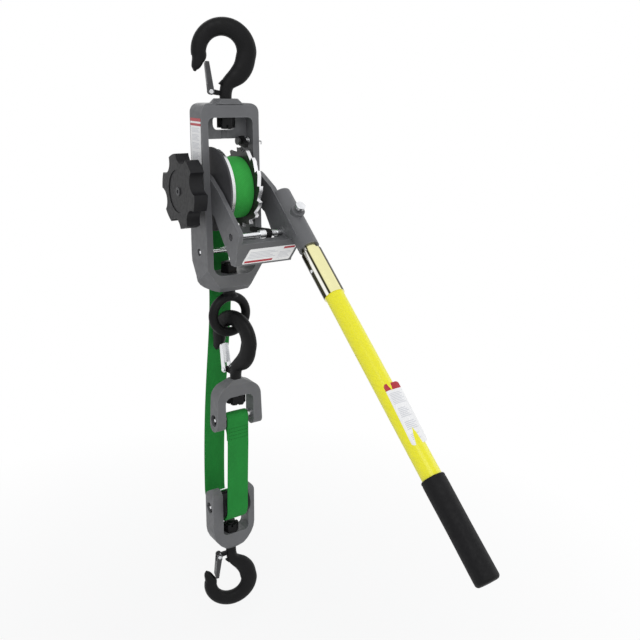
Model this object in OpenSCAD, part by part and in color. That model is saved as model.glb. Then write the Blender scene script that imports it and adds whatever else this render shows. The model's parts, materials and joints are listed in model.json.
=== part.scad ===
// Web strap come along: a lever hoist whose strap hangs in two parts from a geared drum.
// Frame of the part: +Z up, +X along the drum shaft towards the lever socket, -Y towards the lever grip.
// The origin is on the top hook's shank axis, level with the saddle that the hoist hangs from.

/* [Frame casting] */
// Width over the two side plates
frame_w = 90; // [86:1:96]
// Thickness of each side plate
plate_t = 10; // [8:0.5:11]
// Drum axis to the lower front edges of the plates
frame_front = 21; // [19:0.5:22]
// Drum axis to the upper front edges of the plates
frame_front_top = 13; // [12:0.5:15]
// Drum axis to the upper back edges of the plates
frame_back = 22; // [21:0.5:24]
// Drum axis to the lower back edges of the plates
frame_back_low = 29; // [27:0.5:31]
// Drum axis up to the shoulders of the casting
shoulder_h = 118; // [112:1:124]
// Height of the swivel boss above the shoulders
boss_rise = 6; // [4:0.5:8]
// Depth of the solid head that the top hook passes through
head_t = 25; // [20:1:28]
// Drum axis down to the lower face of the casting
frame_drop = 149; // [144:1:156]
// Thickness of the chin that the ring eye passes through
chin_t = 26; // [22:1:30]
// Height of the web that joins the plates at the back
web_h = 30; // [24:1:34]
// Thickness of that web
web_t = 10; // [6:0.5:11]
// Thickness of the film of the labels
film_t = 0.4; // [0.3:0.05:0.5]

/* [Drum and strap] */
// Radius of the drum shaft
shaft_r = 10; // [8:0.5:12]
// Outer radius of the wound strap
roll_r = 45; // [42:0.5:47]
// Width of the strap
strap_w = 37; // [34:0.5:38]
// Thickness of the strap
strap_t = 2.4; // [2:0.1:3]
// Sideways place of the middle of the strap
strap_x = 1.5; // [0:0.25:1.5]
// Turns of strap drawn over the plain core
wrap_turns = 2; // [1:1:3]
// Radius of the spool hub
hub_r = 26; // [22:1:30]
// Thickness of the bright spool cheek
cheek_t = 5; // [4:0.25:5]
// How far the cheek stands above the wound strap
cheek_rise = 12.5; // [10:0.5:13]
// Radius of the dark outer flange
flange_r = 59; // [58:0.5:60]
// Thickness of the dark outer flange
flange_t = 3; // [2:0.25:3.5]
// Radius over the ratchet teeth
ratchet_r = 57; // [54:0.5:58]
// Thickness of the ratchet wheel
ratchet_t = 6; // [4:0.25:6.5]
// Number of ratchet teeth
teeth = 16; // [14:1:20]
// Depth of a ratchet tooth
tooth_d = 6; // [4:0.5:6.5]

/* [Handwheel] */
// Outer radius over the lobes
wheel_r = 51.5; // [47:0.5:54]
// Thickness of the rim
wheel_t = 20; // [16:0.5:24]
// Number of lobes
lobes = 6; // [5:1:8]
// Radius of the scallop between two lobes
scallop_r = 17; // [13:0.5:19]
// Depth of a scallop
scallop_d = 12; // [8:0.5:13]
// Gap from the frame to the wheel
wheel_gap = 12; // [8:0.5:16]

/* [Lever] */
// How far the handle hangs below level
handle_drop = 40.5; // [36:0.5:44]
// Height of the handle axis above the drum axis, square to the handle
handle_rise = 23; // [21:0.5:26]
// Distance of the handle axis from the middle of the frame
handle_x = 62; // [61:0.5:66]
// Radius of the handle socket in the yoke casting
socket_r = 15; // [14:0.5:16]
// Drum axis to the mouth of the socket
socket_end = 139; // [134:1:145]
// Thickness of the arm inside the frame
inner_arm_t = 6.5; // [5:0.25:6.75]
// Thickness of the arm outside the frame
outer_arm_t = 8; // [6:0.5:9]
// Radius of the handle tube
tube_r = 13.3; // [12:0.1:14]
// Drum axis to the end of the ferrule
ferrule_end = 221; // [212:1:230]
// Drum axis to the upper end of the grip
grip_start = 496; // [470:1:520]
// Length of the grip
grip_len = 134; // [120:1:150]
// Outer radius of the grip
grip_r = 15.8; // [15:0.1:17]
// Drum axis to the upper edge of the label on the tube
label_start = 368; // [350:1:380]
// Length of the label on the tube
label_len = 86; // [70:1:95]
// Width of the free flap of the handle label
label_flap = 13; // [10:0.5:15]
// Radius of the pawl shaft
pawl_shaft_r = 3.5; // [3:0.25:4]

/* [Hooks] */
// Radius inside the bowl of each hook
bowl_r = 21; // [19:0.5:23]
// Thickness of the hook at its saddle
saddle_t = 24; // [21:0.5:26]
// Saddle to the end of the neck
hook_neck = 82; // [79:0.5:90]
// Radius of the swivel shank of each hook
shank_r = 7.5; // [6.5:0.25:8]
// Across corners, half the size of a swivel nut
nut_r = 13; // [11.5:0.5:14]
// Height of a swivel nut
nut_h = 14; // [10:0.5:16]
// Turn of the top hook about its shank
top_yaw = -20; // [-45:1:45]
// Turn of the anchor hook about its shank
anchor_yaw = -76; // [-90:1:-60]
// Turn of the bottom hook about its shank
bottom_yaw = -15; // [-45:1:45]

/* [Ring and anchor clevis] */
// Middle radius of the ring
ring_r = 27.5; // [26:0.5:30]
// Radius of the ring's bar
ring_bar_r = 7; // [6:0.25:7.5]
// Radius of the ring's swivel shank
eye_shank_r = 7; // [6:0.25:8]
// Place of the ring axis behind the drum axis
ring_y = -1; // [-2:0.5:2]
// Sideways place of the anchor hook and its clevis
anchor_x = 3; // [0:0.5:5]
// Place of the anchor hook's shank behind the drum axis
anchor_y = -11.5; // [-12.5:0.25:-8]
// Width over the legs of the anchor clevis
clevis_w = 75; // [70:1:80]
// Gap between the legs
clevis_gap = 48; // [44:0.5:52]
// Front to back depth of the clevis
clevis_d = 24; // [20:0.5:28]
// Height of the clevis head that the anchor hook passes through
clevis_head_t = 26; // [23:1:29]
// Top of the clevis to its pin
clevis_pin_drop = 63; // [60:0.5:68]
// Play between the anchor hook's bowl and the ring
saddle_play = 2.3; // [1.8:0.1:3]
// Radius of the clevis pin
clevis_pin_r = 6; // [5:0.25:6.5]
// Length of the doubled and sewn end of the strap
sewn_len = 40; // [30:1:50]

/* [Bottom block] */
// Drum axis down to the roller pin
block_drop = 509; // [480:1:560]
// Place of the block behind the drum axis
block_y = 8; // [6:0.5:10]
// Width over the sides of the block
block_w = 75; // [72:1:80]
// Gap between the sides
block_gap = 46; // [44:1:50]
// Sideways place of the middle of that gap
block_shift = 3.5; // [1.5:0.5:4.5]
// Front to back depth of the block
block_d = 26; // [24:0.5:30]
// Roller pin down to the lower face of the block
block_low = 80.5; // [78:0.5:86]
// Extra length of the bottom hook's round neck under the block
low_neck = 6.5; // [4:0.5:9]
// Thickness of the block's floor
block_floor = 29; // [24:1:32]
// Outer radius of the strap roller
roller_r = 21; // [18:0.5:23]
// Radius of the roller pin
roller_pin_r = 6; // [5:0.25:7]
// Roller pin down to the middle of the slack bight
bight_drop = 27; // [26:0.5:28]
// How far the slack strap bows out behind the block
bow_back = 65; // [62:0.5:68]
// Place of the returning strap behind the drum axis, level with the lower face of the casting
back_y = 31; // [29:0.5:34]

/* [Hidden] */
$fn = 64;

cast_grey = [0.41, 0.42, 0.43];
forged_black = [0.13, 0.13, 0.14];
steel = [0.8, 0.81, 0.82];
web_green = [0.17, 0.55, 0.24];

// Clearances: a running fit, a plain face gap and a thin air gap between layers
run_fit = 0.05;
face_gap = 0.5;
swivel_gap = 0.3;
layer_gap = 0.5;
wrap_gap = 0.1;
over = 1;
// Straight end runs of the strap, so that two lengths meet in a level face
lead = 0.2;
// Radius of the small turned end that shows in the countersink of a pin
pin_end_r = 2.5;

// Places along the drum shaft
gap_half = frame_w / 2 - plate_t;
inner_arm_x = -gap_half + face_gap;
cheek_x = strap_x - strap_w / 2 - swivel_gap - cheek_t;
flange_x = cheek_x - 0.2 - flange_t;
ratchet_x = strap_x + strap_w / 2 + swivel_gap;
outer_arm_x = frame_w / 2 + 2.5;
wheel_x = -frame_w / 2 - wheel_gap - wheel_t;
shaft_end = outer_arm_x + outer_arm_t + 7;

// Heights, from the saddle of the top hook downwards
drum_z = -hook_neck - swivel_gap - boss_rise - shoulder_h;
frame_low = drum_z - frame_drop;
ring_z = frame_low - 5 - ring_r - ring_bar_r;
bowl_shift = 4.5;
rest_off = (ring_y - anchor_y) / sin(anchor_yaw) + bowl_shift;
rest_r = bowl_r - ring_bar_r;
anchor_z = ring_z - ring_r + bowl_r + saddle_play - sqrt(rest_r * rest_r - rest_off * rest_off);
clevis_z = anchor_z - hook_neck - swivel_gap;
clevis_pin_z = clevis_z - clevis_pin_drop;
block_z = drum_z - block_drop;
bottom_z = block_z - block_low - swivel_gap - low_neck - hook_neck;

// Middle of the strap where it passes round the roller, the drum and the clevis pin
wrap_r = roller_r + strap_t / 2 + swivel_gap;
leave_r = roll_r - strap_t / 2;
eye_r = clevis_pin_r + strap_t / 2 + wrap_gap;
eye_front = anchor_y - eye_r;
eye_low = clevis_pin_z - sewn_len;

// ---------------------------------------------------------------- helpers

// Points of an arc about [cx, cy]
function arc(cx, cy, r, a0, a1, n = 8) =
    [for (i = [0 : n]) let (a = a0 + (a1 - a0) * i / n) [cx + r * cos(a), cy + r * sin(a)]];

// Upright box about x = 0 from y0 to y1, with corner radius r0 below and r1 above
function round_box(w, y0, y1, r0, r1) = concat(
    arc(w / 2 - r0, y0 + r0, r0, -90, 0), arc(w / 2 - r1, y1 - r1, r1, 0, 90),
    arc(r1 - w / 2, y1 - r1, r1, 90, 180), arc(r0 - w / 2, y0 + r0, r0, 180, 270));

// A half outline and its mirror image in x = 0
function both_sides(half) =
    concat(half, [for (i = [len(half) - 1 : -1 : 0]) [-half[i][0], half[i][1]]]);

// Point at t on a cubic Bezier curve
function bezier(p, t) = pow(1 - t, 3) * p[0] + 3 * t * pow(1 - t, 2) * p[1]
    + 3 * t * t * (1 - t) * p[2] + pow(t, 3) * p[3];

function unit(v) = v / norm(v);
function ahead(p, i) = unit(p[min(i + 1, len(p) - 1)] - p[max(i - 1, 0)]);

// Closed outline of a band of thickness t along the flat path p
function band(p, t) = concat(
    [for (i = [0 : len(p) - 1]) p[i] + t / 2 * [-ahead(p, i)[1], ahead(p, i)[0]]],
    [for (i = [len(p) - 1 : -1 : 0]) p[i] - t / 2 * [-ahead(p, i)[1], ahead(p, i)[0]]]);

// Sketch of (forward, up) extruded along X from x0
module across(x0, t) translate([x0 + t, 0, 0]) rotate([90, 0, -90]) linear_extrude(t) children();

// Sketch of (x, up) extruded along Y from y0
module through(y0, t) translate([0, y0 + t, 0]) rotate([90, 0, 0]) linear_extrude(t) children();

module rod_x(x0, x1, r) translate([x0, 0, 0]) rotate([0, 90, 0]) cylinder(h = x1 - x0, r = r);
module rod_y(y0, y1, r) translate([0, y0, 0]) rotate([-90, 0, 0]) cylinder(h = y1 - y0, r = r);
module rod_z(z0, z1, r) translate([0, 0, z0]) cylinder(h = z1 - z0, r = r);

module at_drum() translate([0, 0, drum_z]) children();
module on_lever() at_drum() rotate([handle_drop, 0, 0]) children();

// Solid skin over a list of rings, each with the same number of points
module skin(rings) {
    n = len(rings[0]);
    m = len(rings);
    points = [for (r = rings) each r];
    sides = [for (i = [0 : m - 2], j = [0 : n - 1]) let (a = i * n + j, b = i * n + (j + 1) % n)
        each [[a, a + n, b], [b, a + n, b + n]]];
    cap_a = [for (j = [1 : n - 2]) [0, j, j + 1]];
    cap_b = [for (j = [1 : n - 2]) [(m - 1) * n, (m - 1) * n + j + 1, (m - 1) * n + j]];
    polyhedron(points, concat(sides, cap_a, cap_b), convexity = 8);
}

// Wire of radius r along the points p, with the outward direction o of each point
function wire_rings(p, o, r, sides = 6) = [for (i = [0 : len(p) - 1])
    let (t = ahead(p, i), u = unit(o[i] - (o[i] * t) * t), v = cross(t, u))
        [for (j = [0 : sides - 1]) p[i] + r * (cos(360 * j / sides) * u + sin(360 * j / sides) * v)]];

// Coil about +Z: n curls of mid radius r over length l, with a straight end run of one wire diameter
function coil_points(r, l, n, d) = let (k = 8 * n) concat(
    [[r, 0, 0]], [for (i = [0 : k]) [r * cos(45 * i), r * sin(45 * i), d + (l - 2 * d) * i / k]],
    [[r * cos(45 * k), r * sin(45 * k), l]]);
function coil_outward(n) = let (k = 8 * n) concat(
    [[1, 0, 0]], [for (i = [0 : k]) [cos(45 * i), sin(45 * i), 0]], [[cos(45 * k), sin(45 * k), 0]]);
module coil(r, l, n, d) skin(wire_rings(coil_points(r, l, n, d), coil_outward(n), d / 2));

// Coil with two straight legs, wound about +Y, for a latch
function leg_points(r, pitch, n, la, lb) = let (k = 8 * n) concat(
    [[r, 0, -la]], [for (i = [0 : k]) [r * cos(45 * i), pitch * i / 8, r * sin(45 * i)]],
    [[r, pitch * n, lb]]);
function leg_outward(n) = concat(
    [[1, 0, 0]], [for (i = [0 : 8 * n]) [cos(45 * i), 0, sin(45 * i)]], [[1, 0, 0]]);
module leg_coil(r, pitch, n, la, lb, d)
    skin(wire_rings(leg_points(r, pitch, n, la, lb), leg_outward(n), d / 2));

// Least gap of a wound wire to its own next curl
function self_gap(p, d) = min([for (i = [1 : len(p) - 10], j = [i + 5 : min(i + 11, len(p) - 2)])
    norm(p[i] - p[j])]) - d;

// Hexagon nut about +Z from 0 to h, slotted on its upper side
module castle_nut(r, h, bore) difference() {
    cylinder(h = h, r = r, $fn = 6);
    translate([0, 0, -over]) cylinder(h = h + 2 * over, r = bore);
    for (a = [0 : 60 : 120]) rotate([0, 0, a + 30]) translate([-r - over, -1.5, h - 4])
        cube([2 * (r + over), 3, 5]);
}

function polar(r, a) = [r * cos(a), r * sin(a)];

// Steep tooth faces: the holding pawl's tooth, and the drive pawl's some 135 degrees further round
tooth_step = 360 / teeth;
hold_at = 75.5;
drive_at = handle_drop + hold_at - round(135 / tooth_step) * tooth_step;
tooth_root = ratchet_r - tooth_d;
hold_lift = 25;
drive_lift = 11;

// Pawl for the steep face at angle a, on a boss of radius r at p, and lifted clear of the teeth.
// Its nose is an arc about p that passes the crest of the tooth.
nose_gap = 0.3;
function heading(v) = atan2(v[1], v[0]);
module pawl_outline(a, p, r, lift) translate(p) rotate(lift) translate(-p) {
    translate(p) circle(r = r);
    crest = p - polar(ratchet_r, a);
    out = r * unit([-crest[1], crest[0]]);
    nose = arc(p[0], p[1], norm(crest) - nose_gap, heading(polar(tooth_root + 0.6, a + 1) - p),
        heading(polar(ratchet_r + 3, a + 0.8) - p), 6);
    polygon(concat(nose, [p - out, p + out]));
}

// ---------------------------------------------------------------- frame casting

shoulder_r = 13;
boss_r = 24;
web_front = 5.5;
bush_r = shaft_r + 4;
tie_rod_at = [-4, -90];
tie_rod_r = 4;
tie_rod_sink = 4;
hold_pin_at = [2, ratchet_r + 9];
hold_pin_r = 4;

function frame_half() = concat([[0, shoulder_h]],
    arc(frame_w / 2 - shoulder_r, shoulder_h - shoulder_r, shoulder_r, 90, 0),
    [for (v = [[0, 20], [-1.5, 13.5], [-5, 8], [-10, 4], [-17, 1.5], [-31, 0.4]])
        [frame_w / 2 + v[0], v[1] - frame_drop]],
    [[0, -frame_drop]]);

// Side view of the casting: x is forward, y is up
frame_flare = frame_back_low - frame_back;
frame_slant = frame_front - frame_front_top;
function frame_profile() = concat(
    [[frame_front, 8 - frame_drop], [frame_front, -80], [frame_front - 0.24 * frame_slant, -36],
    [frame_front - 0.68 * frame_slant, 24]],
    arc(frame_front_top - 5, shoulder_h - 5, 5, 0, 90),
    arc(5 - frame_back, shoulder_h - 5, 5, 90, 180),
    [for (i = [0 : 6]) let (u = i / 6) [-frame_back - frame_flare * u * u * (3 - 2 * u), 8 - 50 * u]],
    [for (v = [[0, 53], [1.5, 42], [7, 33], [12, 25], [14, 22], [14, 13], [17, 0]])
        [v[0] - frame_back_low, v[1] - frame_drop]],
    [[frame_front - 7, -frame_drop]]);
// Slanting cuts that take off the front lower corners
chin_cut_rise = 37;
chin_cut_heading = [1.5, -0.7, -1];
module chin_cuts() for (side = [-1, 1]) {
    out = unit([side * chin_cut_heading[0], chin_cut_heading[1], chin_cut_heading[2]]);
    translate([side * frame_w / 2, -frame_front, chin_cut_rise - frame_drop])
        rotate([0, acos(out[2]), atan2(out[1], out[0])]) translate([-60, -60, 0]) cube([120, 120, 60]);
}

// Cone round the shank of the top hook, flush with the front and the back of the casting
module swivel_boss() intersection() {
    translate([0, 0, shoulder_h - over]) cylinder(h = boss_rise + over, r1 = boss_r, r2 = boss_r - 7);
    translate([0, 0, shoulder_h]) through(-frame_front_top, frame_front_top + frame_back)
        square([2 * boss_r, 2 * boss_rise + 2 * over], center = true);
}

module frame() color(cast_grey) at_drum() difference() {
    union() {
        intersection() {
            through(-frame_front, frame_front + frame_back_low) polygon(both_sides(frame_half()));
            across(-frame_w / 2, frame_w) polygon(frame_profile());
        }
        swivel_boss();
    }
    window_top = shoulder_h + boss_rise - head_t;
    through(-frame_front - over, frame_front + frame_back_low + 2 * over)
        polygon(round_box(2 * gap_half, chin_t - frame_drop, window_top - web_h, 16, 5));
    through(-frame_front - over, frame_front + web_front + over)
        polygon(round_box(2 * gap_half, 0, window_top, 5, 8));
    through(web_front + web_t, 20) polygon(round_box(2 * gap_half, 0, window_top, 5, 8));
    through(-frame_front - over, frame_front + frame_back + 2 * over)
        polygon(round_box(36, window_top - 18, window_top, 8, 5));
    rod_x(-frame_w / 2 - over, frame_w / 2 + over, bush_r);
    translate([0, -tie_rod_at[0], tie_rod_at[1]]) {
        rod_x(-frame_w / 2 - over, frame_w / 2 + over, tie_rod_r);
        for (x = [-frame_w / 2 - over, frame_w / 2 - tie_rod_sink])
            rod_x(x, x + tie_rod_sink + over, tie_rod_r + 1.5);
    }
    translate([0, -hold_pin_at[0], hold_pin_at[1]]) rod_x(0, frame_w / 2 + over, hold_pin_r);
    chin_cuts();
    rod_z(0, shoulder_h + boss_rise + over, shank_r + run_fit);
    translate([0, ring_y, 0]) rod_z(-frame_drop - over, 0, eye_shank_r + run_fit);
}

module shaft_bushes() color("goldenrod") at_drum() for (x = [-frame_w / 2, gap_half]) difference() {
    rod_x(x, x + plate_t, bush_r);
    rod_x(x - over, x + plate_t + over, shaft_r + run_fit);
}

module tie_rod() color(steel) at_drum() translate([0, -tie_rod_at[0], tie_rod_at[1]]) {
    rod_x(tie_rod_sink - frame_w / 2, frame_w / 2 - tie_rod_sink, tie_rod_r);
    rod_x(1.5 - frame_w / 2, frame_w / 2 - 1.5, pin_end_r);
}

module side_label() color("white") at_drum()
    across(-frame_w / 2 - film_t, film_t)
        translate([-(frame_back - frame_front_top) / 2, 0])
            polygon(round_box(frame_front_top + frame_back - 4, 36, 98, 1.5, 1.5));

module holding_pawl_pin() color(steel) at_drum() translate([0, -hold_pin_at[0], hold_pin_at[1]]) {
    rod_x(ratchet_x - 3, frame_w / 2 + 1.6, hold_pin_r);
    rod_x(ratchet_x - 3 - 2, ratchet_x - 3, hold_pin_r + 1.5);
}

module hairpin_clip() color(steel) at_drum() translate([frame_w / 2 + 1, -hold_pin_at[0], hold_pin_at[1]]) {
    difference() {
        rod_x(-1, 0.2, hold_pin_r + 2.2);
        rod_x(-2, 2, hold_pin_r);
    }
    translate([-1, -hold_pin_r - 14, -0.9]) cube([1.2, 13, 1.8]);
    translate([-1, -hold_pin_r - 14, -4.5]) cube([1.2, 1.8, 5.4]);
}

pawl_wire = 1.2;
hold_coil_r = hold_pin_r + 0.9;
hold_coil_n = 3;
hold_coil_l = gap_half - ratchet_x - ratchet_t - face_gap;
module holding_spring() color(steel) at_drum()
    translate([gap_half - hold_coil_l, -hold_pin_at[0], hold_pin_at[1]]) rotate([0, 90, 0])
        coil(hold_coil_r, hold_coil_l, hold_coil_n, pawl_wire);

// Pawl on the frame, resting just clear of the ratchet teeth
module holding_pawl() color(forged_black) at_drum() difference() {
    across(ratchet_x, ratchet_t) pawl_outline(hold_at, hold_pin_at, 7, hold_lift);
    translate([0, -hold_pin_at[0], hold_pin_at[1]])
        rod_x(ratchet_x - over, ratchet_x + ratchet_t + over, hold_pin_r + run_fit);
}

// ---------------------------------------------------------------- hooks

bowl_mid = bowl_r + saddle_t / 2;
bowl_c = [-bowl_shift + 1.5, -bowl_r];
hook_depth = 18;
latch_pin_at = [-20.5, -hook_neck + 9];
latch_lean = 7.5;
latch_pin_r = 2;
latch_w = 13;
latch_wall = 1.6;
lug_w = 4.4;

// Stations of a hook: place across and up, thickness in the hook's plane, and depth
function hook_tip() = [[-41.6, -44.8, 4.6, 7], [-41.2, -43, 8.6, 10.5], [-40.4, -40.5, 11.5, 13],
    [-38.9, -37, 13.8, 14.6], [-37.4, -33, 15.6, 15.8]];
function hook_bowl() = [for (i = [0 : 19]) let (a = 190 - 10 * i, u = i / 20)
    [bowl_c[0] + bowl_mid * cos(a), bowl_c[1] + bowl_mid * sin(a),
    u < 0.5 ? saddle_t - 4 * (1 - 2 * u) : saddle_t + 3.5 * (2 * u - 1),
    hook_depth - 1.5 * abs(2 * u - 1)]];
tail = [[28.6, -28, 27.2], [27.2, -34.5, 27.3], [25, -40.5, 27.2], [21.5, -46.3, 26.8], [17, -51.4, 25.7],
    [12.5, -55, 23.5], [8, -58.5, 21.1], [4.2, -62.2, 19.3], [1.7, -67.2, 17.8], [0.4, -73, 17],
    [0, -78, 16.6], [0, -81.8, 16.4]];
function hook_tail() = [for (s = tail) [s[0] * bowl_mid / 33, s[1] * hook_neck / 82, s[2], hook_depth - 1.5]];
function squarish(v) = sign(v) * pow(abs(v), 0.85);
function hook_rings(s) = [for (i = [0 : len(s) - 1])
    let (c = [s[i][0], s[i][1]], q = [for (k = s) [k[0], k[1]]], t = ahead(q, i), u = [-t[1], t[0]])
        [for (j = [0 : 15]) let (p = c + s[i][2] / 2 * squarish(cos(22.5 * j)) * u)
            [p[0], -s[i][3] / 2 * squarish(sin(22.5 * j)), p[1]]]];

// Hook with a swivel shank, and a round neck of length more under its shoulder
module hook_solid(shank, more = 0) difference() {
    union() {
        skin(hook_rings(concat(hook_tip(), hook_bowl(), hook_tail())));
        rod_z(-hook_neck - more, 6 - hook_neck, shank_r + 0.7);
        rod_z(-hook_neck - more - shank, -hook_neck, shank_r);
        through(-lug_w / 2, lug_w) union() {
            translate(latch_pin_at) circle(r = latch_pin_r + 2.2);
            polygon([latch_pin_at + [-1.5, -3.6], [-5, 3 - hook_neck], [0, 3 - hook_neck],
                [0, 8.5 - hook_neck], latch_pin_at + [2, 3.4]]);
            translate([0, -hook_neck]) polygon([[-10, 19.5], [-4.5, 25], [0, 19], [-4, 16]]);
        }
    }
    translate([latch_pin_at[0], 0, latch_pin_at[1]]) rod_y(-10, 10, latch_pin_r);
}

module latch_solid() difference() {
    translate([latch_pin_at[0], 0, latch_pin_at[1]]) rotate([0, -latch_lean, 0]) difference() {
        through(-latch_w / 2, latch_w) union() {
            circle(r = 4.6);
            polygon([[-4.4, 0], [4.4, 0], [3.6, 24], [3.2, 39.5], [-1, 40.5], [-3, 37]]);
        }
        translate([0, -latch_w / 2 + latch_wall, -9]) cube([7, latch_w - 2 * latch_wall, 50]);
        translate([-7, -latch_w / 2 + latch_wall, -9]) cube([9, latch_w - 2 * latch_wall, 19]);
        rod_y(-latch_w, latch_w, latch_pin_r + run_fit);
    }
}

module latch_pin_solid() translate([latch_pin_at[0], 0, latch_pin_at[1]]) {
    rod_y(-latch_w / 2 - 0.5, latch_w / 2 + 0.5, latch_pin_r);
    for (y = [-latch_w / 2 - 1.8, latch_w / 2 + 0.5]) rod_y(y, y + 1.3, latch_pin_r + 1);
}

latch_wire = 0.9;
latch_coil_r = latch_pin_r + 0.65;
latch_pitch = 1.4;
module latch_spring_solid() translate([latch_pin_at[0], lug_w / 2 + 0.55, latch_pin_at[1]])
    rotate([0, 15, 0]) leg_coil(latch_coil_r, latch_pitch, 1, 4, 8, latch_wire);

module at_top_hook() rotate([0, 0, top_yaw]) children();
module at_anchor_hook() translate([anchor_x, anchor_y, anchor_z]) rotate([0, 0, anchor_yaw]) children();
module at_bottom_hook()
    translate([0, block_y, bottom_z]) rotate([0, 0, bottom_yaw]) rotate([180, 0, 0]) children();

shank_top = head_t + swivel_gap + nut_h + 2;
shank_anchor = clevis_head_t + swivel_gap + nut_h + 2;
shank_bottom = block_floor + swivel_gap + nut_h + 2;
module hook_nut(thickness, r = nut_r) translate([0, 0, -hook_neck - 2 * swivel_gap - thickness])
    rotate([180, 0, 0]) castle_nut(r, nut_h, shank_r);

module top_hook() color(forged_black) at_top_hook() hook_solid(shank_top);
module top_hook_nut() color(forged_black) at_top_hook() hook_nut(head_t);
module top_latch() color(steel) at_top_hook() latch_solid();
module top_latch_pin() color(steel) at_top_hook() latch_pin_solid();
module top_latch_spring() color(steel) at_top_hook() latch_spring_solid();

module anchor_hook() color(forged_black) at_anchor_hook() hook_solid(shank_anchor);
module anchor_hook_nut() color(forged_black) at_anchor_hook() hook_nut(clevis_head_t, nut_r + 2);
module anchor_latch() color(steel) at_anchor_hook() latch_solid();
module anchor_latch_pin() color(steel) at_anchor_hook() latch_pin_solid();
module anchor_latch_spring() color(steel) at_anchor_hook() latch_spring_solid();

module bottom_hook() color(forged_black) at_bottom_hook() hook_solid(shank_bottom, low_neck);
module bottom_hook_nut() color(forged_black) at_bottom_hook() hook_nut(block_floor + low_neck);
module bottom_latch() color(steel) at_bottom_hook() latch_solid();
module bottom_latch_pin() color(steel) at_bottom_hook() latch_pin_solid();
module bottom_latch_spring() color(steel) at_bottom_hook() latch_spring_solid();

// ---------------------------------------------------------------- drum

// Steep faces stop the drum paying out; the ramps let the pawls ride while winding in
function ratchet_points() = [for (k = [0 : teeth - 1]) let (a = hold_at - k * tooth_step)
    each [polar(tooth_root, a), polar(ratchet_r, a - 0.3), polar(ratchet_r - 0.6, a - 0.3 * tooth_step)]];

module drum_shaft() color(steel) at_drum() difference() {
    rod_x(wheel_x + face_t, shaft_end, shaft_r);
    rod_x(wheel_x - over, wheel_x + 19, 4);
}

module spool() color(steel) at_drum() difference() {
    union() {
        rod_x(flange_x + flange_t, ratchet_x, hub_r);
        rod_x(cheek_x, cheek_x + cheek_t, roll_r + cheek_rise);
    }
    rod_x(flange_x, ratchet_x + over, shaft_r);
}

module drum_flange() color([0.2, 0.2, 0.21]) at_drum() difference() {
    rod_x(flange_x, flange_x + flange_t, flange_r);
    rod_x(flange_x - over, flange_x + flange_t + over, shaft_r);
}

module ratchet_wheel() color([0.18, 0.18, 0.19]) at_drum() difference() {
    across(ratchet_x, ratchet_t) polygon(ratchet_points());
    rod_x(ratchet_x - over, ratchet_x + ratchet_t + over, shaft_r);
}

// Outer turns wound over a plain core; the last turn ends where the strap leaves at the back
wrap_pitch = strap_t + layer_gap;
core_r = leave_r - wrap_turns * wrap_pitch;
function spiral(n) = [for (i = [0 : n]) let (a = 180 - 360 * wrap_turns * (1 - i / n))
    polar(leave_r - wrap_pitch * wrap_turns * (1 - i / n), a)];
module strap_roll() color(web_green) at_drum() difference() {
    union() {
        rod_x(strap_x - strap_w / 2, strap_x + strap_w / 2, core_r);
        strap_path(concat(spiral(48 * wrap_turns), [[-leave_r, -lead]]));
    }
    rod_x(-gap_half, gap_half, hub_r);
}

// Outline of the star shaped handwheel, one of whose lobes stands at lobe_turn
lobe_turn = 48;
module handwheel_outline() difference() {
    circle(r = wheel_r);
    for (i = [0 : lobes - 1]) rotate([0, 0, lobe_turn + (i + 0.5) * 360 / lobes])
        translate([wheel_r - scallop_d + scallop_r, 0]) circle(r = scallop_r);
}

// Closed face towards the user with a shallow round dish; open and ribbed towards the frame
face_t = 6;
pocket_r = wheel_r - scallop_d - 6;
screw_head_r = 6;
module handwheel() color([0.17, 0.17, 0.18]) at_drum() difference() {
    union() {
        difference() {
            across(wheel_x, wheel_t) handwheel_outline();
            rod_x(wheel_x + face_t, wheel_x + wheel_t + over, pocket_r);
        }
        rod_x(wheel_x + 1.5, wheel_x + wheel_t, shaft_r + 8);
        for (a = [0 : 120 : 300]) rotate([a, 0, 0]) translate([wheel_x + face_t - over, -3, 0])
            cube([wheel_t - face_t - 1, 6, pocket_r + 1]);
    }
    rod_x(wheel_x - over, wheel_x + 1, pocket_r - 4);
    rod_x(wheel_x + face_t, wheel_x + wheel_t + over, shaft_r);
    rod_x(wheel_x - over, wheel_x + 4, screw_head_r);
    rod_x(wheel_x - over, wheel_x + face_t + over, 4);
}

// Dark socket head screw, sunk in the dish of the handwheel
module wheel_screw() color(forged_black) at_drum() difference() {
    union() {
        rod_x(wheel_x - 0.5, wheel_x + 4, screw_head_r);
        rod_x(wheel_x, wheel_x + 18, 4);
    }
    translate([wheel_x - over, 0, 0]) rotate([0, 90, 0]) cylinder(h = 3.5, r = 3, $fn = 6);
}

module shaft_nut() color(steel) at_drum() translate([outer_arm_x + outer_arm_t + face_gap, 0, 0])
    difference() {
        rotate([0, 90, 0]) cylinder(h = 5.5, r = 14, $fn = 6);
        rod_x(-over, 7, shaft_r);
    }

// ---------------------------------------------------------------- lever

arm_hub_r = 22;
hub_arc = [100, 290];
pawl_shaft_at = [91, 4];
bar_sec = [[99.5, 5], [111, 12], [125.6, -17.7], [116.4, -25.5]];
socket_start = 40;

arm_low = [[41, -10], [66, -15], [90, -19], [106, -21]];
function inner_arm() = concat(arc(0, 0, arm_hub_r, hub_arc[0], hub_arc[1], 16), arm_low,
    [bar_sec[3], bar_sec[2], bar_sec[1], [106, 24], [101, 26], [30, 26]]);
function outer_arm() = concat(arc(0, 0, arm_hub_r, hub_arc[0], hub_arc[1], 16), arm_low,
    [bar_sec[3], bar_sec[2], bar_sec[1], [118, 24], [118, 30], [30, 30]]);

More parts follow.
